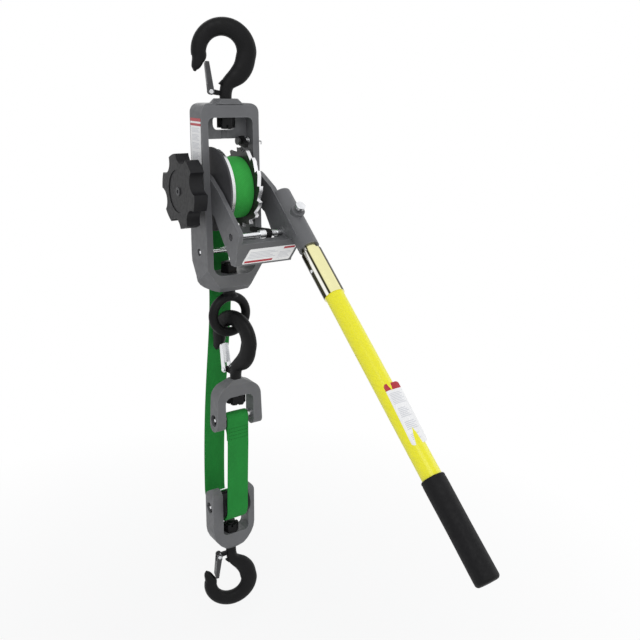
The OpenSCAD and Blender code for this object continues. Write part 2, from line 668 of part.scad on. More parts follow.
// Front view of the crossbar, whose lower right corner is cut off towards the socket
function bar_front() = [[inner_arm_x, -40], [handle_x - 14, -40], [handle_x - 9.5, bar_sec[3][1]],
    [handle_x - 8, bar_sec[2][1]], [handle_x + 6, 9], [handle_x + 6, 20], [inner_arm_x, 20]];

module lever_yoke() color(cast_grey) on_lever() difference() {
    union() {
        across(inner_arm_x, inner_arm_t) polygon(inner_arm());
        across(outer_arm_x, outer_arm_t) polygon(outer_arm());
        intersection() {
            across(inner_arm_x, handle_x + 8 - inner_arm_x) polygon(bar_sec);
            through(-130, 60) polygon(bar_front());
        }
        translate([handle_x, 0, handle_rise]) rod_y(-socket_end, -socket_start, socket_r);
        translate([handle_x, -thumb_s, 0]) rod_z(handle_rise, handle_rise + socket_r + 4, 10);
        translate([0, -pawl_shaft_at[0], pawl_shaft_at[1]])
            rod_x(outer_arm_x - over, handle_x + 3, pawl_shaft_r + 4);
    }
    rod_x(-gap_half - over, outer_arm_x + outer_arm_t + over, shaft_r + run_fit);
    rod_x(outer_arm_x + outer_arm_t, handle_x + socket_r + over, 16);
    translate([0, -pawl_shaft_at[0], pawl_shaft_at[1]]) {
        rod_x(inner_arm_x - over, handle_x + 4, pawl_shaft_r);
        rod_x(inner_arm_x - over, inner_arm_x + 3, pawl_shaft_r + 2);
    }
    translate([handle_x, 0, handle_rise]) rod_y(-socket_end - over, -ferrule_in, ferrule_neck_r);
    translate([handle_x, -thumb_s, 0]) rod_z(thumb_low, handle_rise + socket_r + 5, thumb_r);
    on_dowel() rod_z(-1, 5, 2.5);
}

thumb_s = 85;
thumb_r = 3;
thumb_low = handle_rise - 6;
module thumb_pin() color(steel) on_lever() translate([handle_x, -thumb_s, 0]) {
    rod_z(thumb_low, handle_rise + socket_r + 10, thumb_r);
    rod_z(handle_rise + socket_r + 9, handle_rise + socket_r + 14, 7);
}

dowel_s = 102;
dowel_turn = 200;
module on_dowel() translate([handle_x, -dowel_s, handle_rise]) rotate([0, dowel_turn, 0])
    translate([0, 0, socket_r - 4]) children();
module dowel() color("goldenrod") on_lever() on_dowel() rod_z(0, 4.6, 2.5);

module crossbar_label() color("white") on_lever() {
    // Front face of the crossbar between its corners 1 and 2
    p = bar_sec[1];
    q = bar_sec[2];
    d = unit(q - p);
    a = p + 9 * d;
    b = q - 2.5 * d;
    lift = film_t * [-d[1], d[0]];
    intersection() {
        across(-40, 110) polygon([a, b, b + lift, a + lift]);
        through(-160, 60) polygon([[-26, b[1] - over], [-14, a[1] + over],
            [handle_x - 1, a[1] + over], [handle_x - 10, b[1] - over]]);
    }
}

module pawl_shaft() color(steel) on_lever() translate([0, -pawl_shaft_at[0], pawl_shaft_at[1]]) {
    rod_x(inner_arm_x + 3, handle_x + 3, pawl_shaft_r);
    rod_x(inner_arm_x + 1.5, inner_arm_x + 3, pin_end_r);
    rod_x(ratchet_x - 10.5, ratchet_x - face_gap, pawl_shaft_r + 2.5);
    rod_x(pawl_boss_end + face_gap + pawl_coil_l, outer_arm_x - 1, pawl_shaft_r + 1.3);
}

module drive_pawl() color(forged_black) on_lever() difference() {
    union() {
        across(ratchet_x, ratchet_t) pawl_outline(drive_at, pawl_shaft_at, 7, drive_lift);
        translate([0, -pawl_shaft_at[0], pawl_shaft_at[1]]) rod_x(ratchet_x + 1, pawl_boss_end, 6.5);
    }
    translate([0, -pawl_shaft_at[0], pawl_shaft_at[1]])
        rod_x(ratchet_x - over, pawl_boss_end + over, pawl_shaft_r + run_fit);
}

pawl_boss_end = ratchet_x + ratchet_t + 2;
pawl_coil_r = pawl_shaft_r + 0.9;
pawl_coil_n = 4;
pawl_coil_l = 10;
module pawl_spring() color(steel) on_lever()
    translate([pawl_boss_end + face_gap, -pawl_shaft_at[0], pawl_shaft_at[1]])
        rotate([0, 90, 0]) coil(pawl_coil_r, pawl_coil_l, pawl_coil_n, pawl_wire);

ferrule_neck_r = 11.5;
ferrule_in = 110;
ferrule_r = 15;
tube_in = 165;
module ferrule() color([0.85, 0.82, 0.55]) on_lever() translate([handle_x, 0, handle_rise]) difference() {
    union() {
        rod_y(-socket_end - 8, -ferrule_in, ferrule_neck_r);
        rod_y(-ferrule_end, -socket_end - 8, ferrule_r);
    }
    rod_y(-ferrule_end - over, -tube_in, tube_r);
    rod_x(-20, 20, 2.5);
    translate([0, -tube_in - 12, 0]) rod_x(-20, 20, 2.5);
}

module ferrule_pin() color(steel) on_lever() translate([handle_x, -tube_in - 12, handle_rise])
    rod_x(-ferrule_r - 0.8, ferrule_r + 0.8, 2.5);

module handle_tube() color([0.93, 0.9, 0.2]) on_lever() translate([handle_x, 0, handle_rise]) difference() {
    rod_y(-grip_start - grip_len + 6, -tube_in, tube_r);
    rod_y(-grip_start - grip_len, -tube_in + over, tube_r - 4);
    translate([0, -tube_in - 12, 0]) rod_x(-20, 20, 2.5);
}

// Sticker that follows the upper left of the tube and then stands off it as a straight flap
function label_path() = let (r = tube_r + film_t / 2 + 0.02)
    concat([for (a = [-45 : 3 : 0]) [r * sin(a), r * cos(a)]], [[label_flap, r]]);
module tube_label() color("white") on_lever() translate([handle_x, 0, handle_rise])
    through(-label_start - label_len, label_len) polygon(band(label_path(), film_t));

module grip() color([0.13, 0.13, 0.14]) on_lever()
    translate([handle_x, -grip_start - grip_len, handle_rise]) difference() {
        rotate([-90, 0, 0]) rotate_extrude() polygon([[0, 0], [grip_r - 3, 0], [grip_r - 0.8, 1.2],
            [grip_r, 4], [grip_r, grip_len - 2], [grip_r - 1.2, grip_len], [0, grip_len]]);
        rod_y(6, grip_len + over, tube_r);
    }

// ---------------------------------------------------------------- ring and anchor clevis

module at_ring() translate([0, ring_y, 0]) children();
ring_neck_gap = swivel_gap;
module ring_eye() color(forged_black) at_ring() difference() {
    union() {
        translate([0, 0, ring_z]) rotate([90, 0, 0]) rotate_extrude()
            translate([ring_r, 0]) circle(r = ring_bar_r, $fn = 32);
        rod_z(ring_z + ring_r + 1, frame_low - ring_neck_gap, eye_shank_r + 1.8);
        rod_z(ring_z + ring_r + 2, frame_low + chin_t + swivel_gap + nut_h + 2, eye_shank_r);
    }
    translate([0, 0, ring_z]) rod_y(-ring_bar_r, ring_bar_r, ring_r - ring_bar_r);
}

module ring_eye_nut() color(forged_black) at_ring() translate([0, 0, frame_low + chin_t + swivel_gap])
    castle_nut(nut_r, nut_h, eye_shank_r);

// Front view of the clevis, from its arched top down to the leg ends
leg_end = clevis_d / 2 + 6;
leg_flare = 2.5;
bolt_half = clevis_w / 2 + 1.6;
bolt_sink = 5;
function clevis_half() = concat([[0, 0], [9, -0.6]], arc(clevis_w / 2 - 24, -30, 24, 75, 0),
    [[clevis_w / 2 + leg_flare, -clevis_pin_drop - leg_end], [clevis_gap / 2, -clevis_pin_drop - leg_end]]);
function clevis_inner() = concat(arc(clevis_gap / 2 - 10, -clevis_head_t - 10, 10, 0, 90),
    arc(10 - clevis_gap / 2, -clevis_head_t - 10, 10, 90, 180),
    [[-clevis_gap / 2, -120], [clevis_gap / 2, -120]]);
module anchor_clevis() color(cast_grey) translate([anchor_x, anchor_y, clevis_z]) difference() {
    intersection() {
        through(-clevis_d / 2, clevis_d) polygon(both_sides(clevis_half()));
        across(-clevis_w / 2 - leg_flare, clevis_w + 2 * leg_flare) union() {
            polygon([[-clevis_d / 2, -clevis_pin_drop - 6], [clevis_d / 2, -clevis_pin_drop - 6],
                [clevis_d / 2, -8], [clevis_d / 2 - 4, 0], [4 - clevis_d / 2, 0], [-clevis_d / 2, -8]]);
            translate([0, -clevis_pin_drop - 6]) circle(r = clevis_d / 2);
        }
    }
    through(-clevis_d, 2 * clevis_d) polygon(clevis_inner());
    rod_z(-clevis_head_t - over, over, shank_r + run_fit);
    translate([0, 0, -clevis_pin_drop]) {
        rod_x(-bolt_half - over, bolt_half + over, clevis_pin_r);
        for (x = [-bolt_half - over, bolt_half - bolt_sink])
            rod_x(x, x + bolt_sink + over, clevis_pin_r + 3);
    }
}

module clevis_bolt() color(steel) translate([anchor_x, anchor_y, clevis_pin_z]) {
    rod_x(3.5 - bolt_half, bolt_half - 3.5, clevis_pin_r);
    rod_x(2 - bolt_half, bolt_half - 2, pin_end_r);
    for (x = [4 - bolt_half, bolt_half - bolt_sink]) rod_x(x, x + 1, clevis_pin_r + 2.2);
}

// ---------------------------------------------------------------- strap below the drum

module strap_path(p) across(strap_x - strap_w / 2, strap_w) polygon(band(p, strap_t));

eye_c = [-anchor_y, clevis_pin_z];
module strap_eye() color(web_green) {
    strap_path([[-eye_front, eye_low], [-eye_front, eye_low + 10], [-eye_front, clevis_pin_z]]);
    strap_path(concat([[-eye_front, clevis_pin_z - 0.5]], arc(eye_c[0], eye_c[1], eye_r, 0, 180, 16),
        [[eye_c[0] - eye_r, clevis_pin_z - 6], [-eye_front - strap_t + 0.1, eye_low + 12],
        [-eye_front - strap_t + 0.1, eye_low + 4]]));
}

block_c = [-block_y, block_z];
bow_r = (bow_back - block_y) / 2;
module front_strand() color(web_green)
    strap_path([[-eye_front, eye_low], [-eye_front, eye_low - 6],
        block_c + [wrap_r, 6], block_c + [wrap_r, lead]]);

// The bight hangs a little slack under the roller, then turns up behind the block
bow_c = [bow_r - bow_back, block_z - bight_drop + bow_r];
module strap_bight() color(web_green) strap_path(concat([block_c + [wrap_r, lead]],
    [for (i = [0 : 12]) block_c + [wrap_r * cos(7.5 * i), -bight_drop * sin(7.5 * i)]],
    arc(bow_c[0], bow_c[1], bow_r, 270, 180, 12), [bow_c + [-bow_r, lead]]));

// From the back of the drum the strap leans in behind the casting, then bows out towards the block
bow_in = [[-leave_r, drum_z - 40], [-leave_r, drum_z - 100], [-back_y, drum_z - 110],
    [-back_y, drum_z - 156]];
bow_out = [[-back_y, drum_z - 156], [-back_y, drum_z - 240], [-bow_back, drum_z - 330],
    [-bow_back, bow_c[1] + 6]];
module back_strand() color(web_green) strap_path(concat([[-leave_r, drum_z - lead]],
    [for (i = [0 : 8]) bezier(bow_in, i / 8)], [for (i = [1 : 16]) bezier(bow_out, i / 16)],
    [[-bow_back, bow_c[1] + lead]]));

// ---------------------------------------------------------------- bottom block

keeper_h = 24.5;
keeper_r = 2.5;
arm_top = 29;
arm_r = 10;
pin_sink = 4;
gap_0 = block_shift - block_gap / 2;
gap_1 = block_shift + block_gap / 2;
function block_half() = concat([[0, arm_top]], arc(block_w / 2 - arm_r, arm_top - arm_r, arm_r, 90, 0),
    [[block_w / 2, 41 - block_low], [block_w / 2 - 1.5, 31 - block_low],
    [block_w / 2 - 6, 21 - block_low], [block_w / 2 - 13.5, 11.5 - block_low], [14.5, 4 - block_low],
    [8, 1 - block_low], [0, -block_low]]);
function block_inner() = concat([[gap_1, 60]], arc(gap_1 - 8, block_floor - block_low + 8, 8, 0, -90),
    arc(gap_0 + 8, block_floor - block_low + 8, 8, 270, 180), [[gap_0, 60]]);
module at_block() translate([0, block_y, block_z]) children();
module block_yoke() color(cast_grey) at_block() difference() {
    intersection() {
        through(-block_d / 2, block_d) polygon(both_sides(block_half()));
        across(-block_w / 2, block_w) union() {
            translate([0, arm_top - block_d / 2]) circle(r = block_d / 2);
            polygon([[-block_d / 2, arm_top - block_d / 2], [-block_d / 2, -block_low + 6],
                [4 - block_d / 2, -block_low], [block_d / 2 - 4, -block_low], [block_d / 2, -block_low + 6],
                [block_d / 2, arm_top - block_d / 2]]);
        }
    }
    through(-block_d, 2 * block_d) polygon(block_inner());
    rod_x(-block_w / 2 - over, block_w / 2 + over, roller_pin_r);
    for (x = [-block_w / 2 - over, block_w / 2 - pin_sink]) rod_x(x, x + pin_sink + over, roller_pin_r + 3);
    // The keeper goes in from the right side into a blind hole
    translate([0, 0, keeper_h]) rod_x(gap_0 - 9, block_w / 2 + over, keeper_r);
    rod_z(-block_low - over, block_floor - block_low + over, shank_r + run_fit);
}

module strap_roller() color([0.12, 0.12, 0.13]) at_block() difference() {
    rod_x(gap_0 + face_gap, gap_1 - face_gap, roller_r);
    rod_x(gap_0, gap_1, roller_pin_r + run_fit);
}

module roller_pin() color(steel) at_block() {
    rod_x(2.5 - block_w / 2, block_w / 2 - 2.5, roller_pin_r);
    rod_x(1.5 - block_w / 2, block_w / 2 - 1.5, pin_end_r);
    for (x = [3 - block_w / 2, block_w / 2 - pin_sink]) rod_x(x, x + 1, roller_pin_r + 2);
}

module strap_keeper() color(steel) at_block() translate([0, 0, keeper_h])
    rod_x(gap_0 - 9, block_w / 2 - 5, keeper_r);

echo(latch_spring_gap = self_gap(leg_points(latch_coil_r, latch_pitch, 1, 4, 8), latch_wire));
echo(holding_spring_gap = self_gap(coil_points(hold_coil_r, hold_coil_l, hold_coil_n, pawl_wire), pawl_wire));
echo(pawl_spring_gap = self_gap(coil_points(pawl_coil_r, pawl_coil_l, pawl_coil_n, pawl_wire), pawl_wire));
echo(layer_gap = layer_gap);

frame();
shaft_bushes();
tie_rod();
side_label();
holding_pawl_pin();
hairpin_clip();
holding_pawl();
top_hook();
top_hook_nut();
top_latch();
top_latch_pin();
top_latch_spring();
drum_shaft();
spool();
drum_flange();
ratchet_wheel();
strap_roll();
handwheel();
wheel_screw();
shaft_nut();
lever_yoke();
crossbar_label();
pawl_shaft();
drive_pawl();
holding_spring();
pawl_spring();
thumb_pin();
dowel();
ferrule();
ferrule_pin();
handle_tube();
tube_label();
grip();
ring_eye();
ring_eye_nut();
anchor_hook();
anchor_hook_nut();
anchor_latch();
anchor_latch_pin();
anchor_latch_spring();
anchor_clevis();
clevis_bolt();
strap_eye();
front_strand();
back_strand();
strap_bight();
block_yoke();
strap_roller();
roller_pin();
strap_keeper();
bottom_hook();
bottom_hook_nut();
bottom_latch();
bottom_latch_pin();
bottom_latch_spring();
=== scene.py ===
"""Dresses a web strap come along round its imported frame: castings, hooks, strap, lever and stage."""

import json
import math

import bmesh
import bpy
import numpy as np
from bpy.props import FloatProperty, FloatVectorProperty, PointerProperty
from mathutils import Matrix, Vector


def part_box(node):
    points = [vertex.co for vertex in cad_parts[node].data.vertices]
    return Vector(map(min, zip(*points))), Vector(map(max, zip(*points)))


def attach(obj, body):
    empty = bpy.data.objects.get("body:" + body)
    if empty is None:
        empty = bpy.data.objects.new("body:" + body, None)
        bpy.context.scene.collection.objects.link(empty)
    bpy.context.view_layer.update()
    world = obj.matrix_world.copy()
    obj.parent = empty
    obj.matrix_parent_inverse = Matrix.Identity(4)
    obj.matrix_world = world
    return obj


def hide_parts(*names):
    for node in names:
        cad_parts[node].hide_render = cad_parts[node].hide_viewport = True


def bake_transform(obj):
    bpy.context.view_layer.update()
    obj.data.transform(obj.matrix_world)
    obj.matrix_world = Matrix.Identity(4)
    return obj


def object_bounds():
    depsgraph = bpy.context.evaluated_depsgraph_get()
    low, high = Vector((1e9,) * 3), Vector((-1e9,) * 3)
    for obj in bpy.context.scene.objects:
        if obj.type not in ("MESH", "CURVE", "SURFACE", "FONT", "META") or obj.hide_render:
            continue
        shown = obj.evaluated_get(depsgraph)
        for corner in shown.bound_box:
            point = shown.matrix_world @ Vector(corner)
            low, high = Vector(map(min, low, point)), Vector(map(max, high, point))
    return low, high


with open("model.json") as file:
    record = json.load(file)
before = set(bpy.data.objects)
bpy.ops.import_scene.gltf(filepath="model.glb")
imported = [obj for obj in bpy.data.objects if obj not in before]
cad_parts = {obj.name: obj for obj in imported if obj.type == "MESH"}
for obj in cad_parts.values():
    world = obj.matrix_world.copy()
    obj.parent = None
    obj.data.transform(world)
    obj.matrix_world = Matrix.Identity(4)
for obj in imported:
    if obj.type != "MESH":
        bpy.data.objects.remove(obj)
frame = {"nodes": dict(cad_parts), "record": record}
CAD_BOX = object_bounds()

bl_info = {
    "name": "Come Along Dresser",
    "version": (1, 0, 0),
    "blender": (4, 5, 0),
    "location": "3D View > Sidebar > Come Along",
    "description": "Makes the finished surfaces of a web strap come along round its packed frame",
    "category": "Object",
}

MM = 0.001
RECORD = frame["record"]
BODY_OF = {n: b for b, nodes in RECORD["behaviour"]["bodies"].items() for n in nodes}
SLOT_OF = {s["node"]: s["material_slot"] for s in RECORD["subparts"]}


def middle(node):
    """Centre of a node's box."""
    low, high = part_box(node)
    return (low + high) / 2


DRUM = middle("drum_shaft")
DRUM.x = DRUM.y = 0.0
STRAP_X = middle("strap_roll").x
STRAP_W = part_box("strap_roll")[1].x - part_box("strap_roll")[0].x
ROLL_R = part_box("strap_roll")[1].y
ROLLER = middle("strap_roller")
ROLLER_R = (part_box("strap_roller")[1].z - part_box("strap_roller")[0].z) / 2
CLEVIS_PIN = middle("clevis_bolt")
CLEVIS_PIN_R = 6.0 * MM
HANDLE_DROP = math.radians(40.5)
HANDLE_X = middle("grip").x
HANDLE_RISE = 23.0 * MM
TUBE_R = 13.3 * MM
GRIP_START, GRIP_END, GRIP_R = 496.0 * MM, 630.0 * MM, 15.8 * MM
HUB_R = 26.0 * MM
SEWN_DROP = 40.0 * MM
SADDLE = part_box("top_hook")[1].z
ANCHOR_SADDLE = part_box("anchor_hook")[1].z - SADDLE
BOTTOM_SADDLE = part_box("bottom_hook")[0].z + SADDLE
LEVER = Matrix.Translation(DRUM) @ Matrix.Rotation(HANDLE_DROP, 4, "X")
HANDLE = LEVER @ Matrix.Translation((HANDLE_X, 0, HANDLE_RISE))


# --- sizes and colours


def length(name, description, millimetres):
    """Length property with its default given in millimetres."""
    return FloatProperty(name=name, description=description, default=millimetres * MM,
                         min=0.0, subtype="DISTANCE", unit="LENGTH", precision=5)


def colour(name, description, *rgb):
    """Linear colour property."""
    return FloatVectorProperty(name=name, description=description, default=rgb,
                               min=0.0, max=1.0, size=3, subtype="COLOR")


class ComeAlongSizes(bpy.types.PropertyGroup):
    """Sizes of the finished surfaces."""

    cast_round: length("Casting edge", "Round on the edges of the grey castings", 1.6)
    machined_round: length("Machined edge", "Round on the edges of turned and cut steel", 0.35)
    sheet_round: length("Sheet edge", "Round on the edges of the pressed latches", 0.3)
    wheel_round: length("Handwheel edge", "Round on the edges of the moulded handwheel", 1.6)
    flash_rise: length("Flash line", "Height of the trimmed forging line round a hook", 0.3)
    strap_t: length("Strap thickness", "Thickness of the webbing", 2.4)
    wind_gap: length("Winding gap", "Air between two turns of the wound strap", 0.12)
    rib_pitch: length("Rib pitch", "Distance between two ribs of the webbing", 1.9)
    pick_pitch: length("Pick pitch", "Distance between two cross yarns of the webbing", 2.6)
    stitch_l: length("Stitch", "Length of a stitch in the sewn eye", 3.0)
    pin_stub: length("Pin stub", "Radius of the turned stub in a countersink", 2.75)
    label_t: length("Label", "Thickness of the sticker film", 0.3)
    grip_bead: length("Grip bead", "Rise of the bead at the mouth of the grip", 0.5)


class ComeAlongColours(bpy.types.PropertyGroup):
    """Base colours of the finishes."""

    cast: colour("Casting paint", "Grey paint of the castings", 0.126, 0.128, 0.134)
    forged: colour("Forged steel", "Black oxide of the hooks, ring and pawls", 0.0055, 0.0055, 0.006)
    latch: colour("Latch", "Dark pressed steel of the outer latches", 0.060, 0.060, 0.063)
    plated: colour("Bright plating", "Zinc plated pins, springs and shafts", 0.80, 0.81, 0.83)
    flange: colour("Flange paint", "Dark paint of the outer drum flange", 0.060, 0.060, 0.064)
    ratchet: colour("Ratchet steel", "Dark oiled sides of the ratchet wheel", 0.030, 0.028, 0.027)
    bronze: colour("Bronze", "Bushings and dowel", 0.45, 0.33, 0.13)
    chromate: colour("Yellow chromate", "Plating of the handle ferrule", 0.86, 0.82, 0.46)
    webbing: colour("Webbing", "Dyed yarn of the strap", 0.020, 0.275, 0.045)
    # painted light: the same webbing made lighter where it is lit, wound on the drum, not another dye
    wound: colour("Wound webbing", "Dyed yarn of the strap on the drum", 0.050, 0.46, 0.075)
    thread: colour("Thread", "Sewing thread of the strap eye", 0.018, 0.20, 0.035)
    wheel: colour("Handwheel", "Moulded nylon of the handwheel", 0.010, 0.010, 0.0115)
    tube: colour("Handle jacket", "Yellow jacket of the glass fibre tube", 0.97, 0.91, 0.012)
    grip: colour("Grip", "Rubber of the grip", 0.0052, 0.0052, 0.006)
    film: colour("Label film", "White sticker film", 0.98, 0.98, 0.98)
    band: colour("Label band", "Red band of a sticker", 0.47, 0.008, 0.022)
    print_grey: colour("Label bars", "Grey bars of a sticker", 0.70, 0.71, 0.74)


class ComeAlongStage(bpy.types.PropertyGroup):
    """Camera, floor and light."""

    azimuth: FloatProperty(name="Azimuth", description="Turn of the camera from the front",
                           default=math.radians(-34.9), subtype="ANGLE")
    elevation: FloatProperty(name="Elevation", description="Height of the camera over the horizon",
                             default=math.radians(17.0), subtype="ANGLE")
    roll: FloatProperty(name="Roll", description="Turn of the camera about its own axis",
                        default=math.radians(1.0), subtype="ANGLE")
    place: FloatVectorProperty(name="Camera", description="Place of the camera",
                               default=(-0.5474, -1.0232, -0.0494), subtype="TRANSLATION")
    lens: FloatProperty(name="Lens", description="Focal length on a 36 mm sensor",
                        default=45.0, min=10.0)
    floor_gap: length("Floor gap", "Floor below the lowest hook", 70.0)
    ambient: FloatProperty(name="Ambient", description="Strength of the light from all round",
                           default=0.62, min=0.0)
    key: FloatProperty(name="Key", description="Power of the main lamp", default=16.0, min=0.0)
    fill: FloatProperty(name="Fill", description="Power of the fill lamp", default=7.0, min=0.0)


# --- mesh helpers


def grid(points, uv=None, round_u=False, round_v=False, caps=False):
    """Shell over a grid of points (rows, columns, 3): each cell is one quad. round_u joins the last
    row to the first, round_v the last column to the first, and caps close both ends of a tube.
    uv has one more row or column than the points where that way round is closed."""
    rows, columns = points.shape[:2]
    i = np.arange(rows if round_u else rows - 1)[:, None]
    j = np.arange(columns if round_v else columns - 1)[None, :]
    i2, j2 = (i + 1) % rows, (j + 1) % columns
    faces = np.stack([i * columns + j, i2 * columns + j, i2 * columns + j2, i * columns + j2], -1)
    faces = [list(f) for f in faces.reshape(-1, 4).tolist()]
    loops = None
    if uv is not None:
        corners = [uv[i, j], uv[i + 1, j], uv[i + 1, j + 1], uv[i, j + 1]]
        loops = np.stack(corners, 2).reshape(-1, 2)
    if caps:
        first = list(range(columns))
        last = [(rows - 1) * columns + k for k in range(columns)]
        faces += [first, last[::-1]]
        if loops is not None:
            ends = np.concatenate([uv[0, :columns], uv[rows - 1, :columns][::-1]])
            loops = np.concatenate([loops, ends])
    return points.reshape(-1, 3), faces, loops


def joined(shells):
    """One shell out of several."""
    verts, faces, loops, base = [], [], [], 0
    for v, f, uv in shells:
        verts.append(v)
        faces += [[k + base for k in face] for face in f]
        corners = sum(len(face) for face in f)
        loops.append(uv if uv is not None else np.zeros((corners, 2)))
        base += len(v)
    return np.concatenate(verts), faces, np.concatenate(loops)


def placed(shell, matrix):
    """A shell carried by a matrix."""
    m = np.array(matrix)
    verts, faces, loops = shell
    return verts @ m[:3, :3].T + m[:3, 3], faces, loops


def lathe(profile, turns=48, matrix=Matrix.Identity(4)):
    """Surface of revolution about Z: each profile point (radius, height) goes round a circle.
    A radius of zero closes the pole."""
    p = np.asarray(profile, float)
    a = np.linspace(0, 2 * np.pi, turns, endpoint=False)
    points = np.stack([p[:, 0, None] * np.cos(a), p[:, 0, None] * np.sin(a),
                       np.broadcast_to(p[:, 1, None], (len(p), turns))], -1)
    u = np.linspace(0, 1, turns + 1)
    along = np.concatenate([[0], np.cumsum(np.hypot(*np.diff(p, axis=0).T))])
    uv = np.stack(np.broadcast_arrays(u[None, :], along[:, None]), -1)
    return placed(grid(points[:, ::-1], uv, round_v=True, caps=True), matrix)


def curve_through(stations, count):
    """Points on the Catmull-Rom curve through the stations, evenly in the stations' own count."""
    s = np.asarray(stations, float)
    padded = np.concatenate([2 * s[:1] - s[1:2], s, 2 * s[-1:] - s[-2:-1]])
    t = np.linspace(0, len(s) - 1, count)
    k = np.minimum(t.astype(int), len(s) - 2)
    f = (t - k)[:, None]
    a, b, c, d = (padded[k + n] for n in range(4))
    return 0.5 * (2 * b + (c - a) * f + (2 * a - 5 * b + 4 * c - d) * f**2
                  + (3 * b - 3 * c + d - a) * f**3)


def linked(name, data):
    """New object in the scene."""
    obj = bpy.data.objects.new(name, data)
    bpy.context.scene.collection.objects.link(obj)
    return obj


def new_object(name, shell, smooth=40.0):
    """Mesh object at the origin, welded, with edges sharper than smooth degrees left sharp."""
    verts, faces, loops = shell
    mesh = bpy.data.meshes.new(name)
    mesh.from_pydata(np.asarray(verts).tolist(), [], faces)
    if loops is not None:
        layer = mesh.uv_layers.new(name="UVMap")
        layer.data.foreach_set("uv", np.asarray(loops, np.float32).ravel())
    bm = bmesh.new()
    bm.from_mesh(mesh)
    bmesh.ops.remove_doubles(bm, verts=bm.verts, dist=1e-6)
    bmesh.ops.recalc_face_normals(bm, faces=bm.faces)
    bm.to_mesh(mesh)
    bm.free()
    mesh.shade_smooth()
    mesh.set_sharp_from_angle(angle=math.radians(smooth))
    return linked(name, mesh)


def finished(obj, node, material, *replaced):
    """Gives a piece its material and the body of its node, and hides the nodes that it stands for."""
    obj.data.materials.clear()
    obj.data.materials.append(material)
    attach(obj, BODY_OF[node])
    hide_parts(*(replaced or (node,)))
    return obj


def dressed(node, material, edge, segments=3, sharp=32.0):
    """Merged copy of a node with flat faces joined up and its edges rounded."""
    mesh = frame["nodes"][node].data.copy()
    mesh.name = node + "_skin"
    bm = bmesh.new()
    bm.from_mesh(mesh)
    bmesh.ops.remove_doubles(bm, verts=bm.verts, dist=2e-6)
    bmesh.ops.dissolve_limit(bm, angle_limit=math.radians(0.6), verts=bm.verts, edges=bm.edges)
    for layer in list(bm.loops.layers.uv):
        bm.loops.layers.uv.remove(layer)
    bm.to_mesh(mesh)
    bm.free()
    if "custom_normal" in mesh.attributes:
        mesh.attributes.remove(mesh.attributes["custom_normal"])
    mesh.shade_smooth()
    mesh.set_sharp_from_angle(angle=math.radians(sharp))
    obj = linked(node + "_skin", mesh)
    if edge > 0:
        bevel = obj.modifiers.new("edges", "BEVEL")
        bevel.width = edge
        bevel.segments = segments
        bevel.limit_method = "ANGLE"
        bevel.angle_limit = math.radians(sharp)
        bevel.miter_outer = "MITER_ARC"
        bevel.harden_normals = False
        normals = obj.modifiers.new("normals", "WEIGHTED_NORMAL")
        normals.keep_sharp = False
    return finished(obj, node, material)


# --- material helpers


class Nodes:
    """A node tree and short ways to add to it."""

    def __init__(self, owner):
        owner.use_nodes = True
        self.tree = owner.node_tree

    def node(self, kind, **inputs):
        """Adds a node; inputs are values or links by socket name with underscores for spaces."""
        made = self.tree.nodes.new(kind)
        for socket, value in inputs.items():
            self.feed(made.inputs[socket.replace("_", " ")], value)
        return made

    def feed(self, socket, value):
        """Links a socket, or writes a plain value on it."""
        if isinstance(value, bpy.types.NodeSocket):
            self.tree.links.new(value, socket)
        else:
            socket.default_value = value

    def math(self, operation, a, b=0.0):
        """One sum."""
        made = self.tree.nodes.new("ShaderNodeMath")
        made.operation = operation
        self.feed(made.inputs[0], a)
        self.feed(made.inputs[1], b)
        return made.outputs[0]

    def spread(self, value, low, high, to_low, to_high):
        """Maps low..high onto to_low..to_high."""
        made = self.node("ShaderNodeMapRange", Value=value, From_Min=low, From_Max=high,
                         To_Min=to_low, To_Max=to_high)
        return made.outputs[0]

    def white_to_eye(self, plain, output, share=None):
        """Shows plain white to the camera and in gloss and glass, and the plain shader to other
        rays. share is a socket with how much of the white is shown there."""
        rays = self.node("ShaderNodeLightPath").outputs
        seen = self.math("MAXIMUM", rays["Is Camera Ray"], rays["Is Glossy Ray"])
        seen = self.math("MAXIMUM", seen, rays["Is Transmission Ray"])
        if share is not None:
            seen = self.math("MULTIPLY", seen, share)
        mixed = self.tree.nodes.new("ShaderNodeMixShader")
        white = self.node("ShaderNodeEmission").outputs[0]
        for socket, value in zip(mixed.inputs, (seen, plain, white)):
            self.feed(socket, value)
        self.feed(self.tree.nodes[output].inputs["Surface"], mixed.outputs[0])


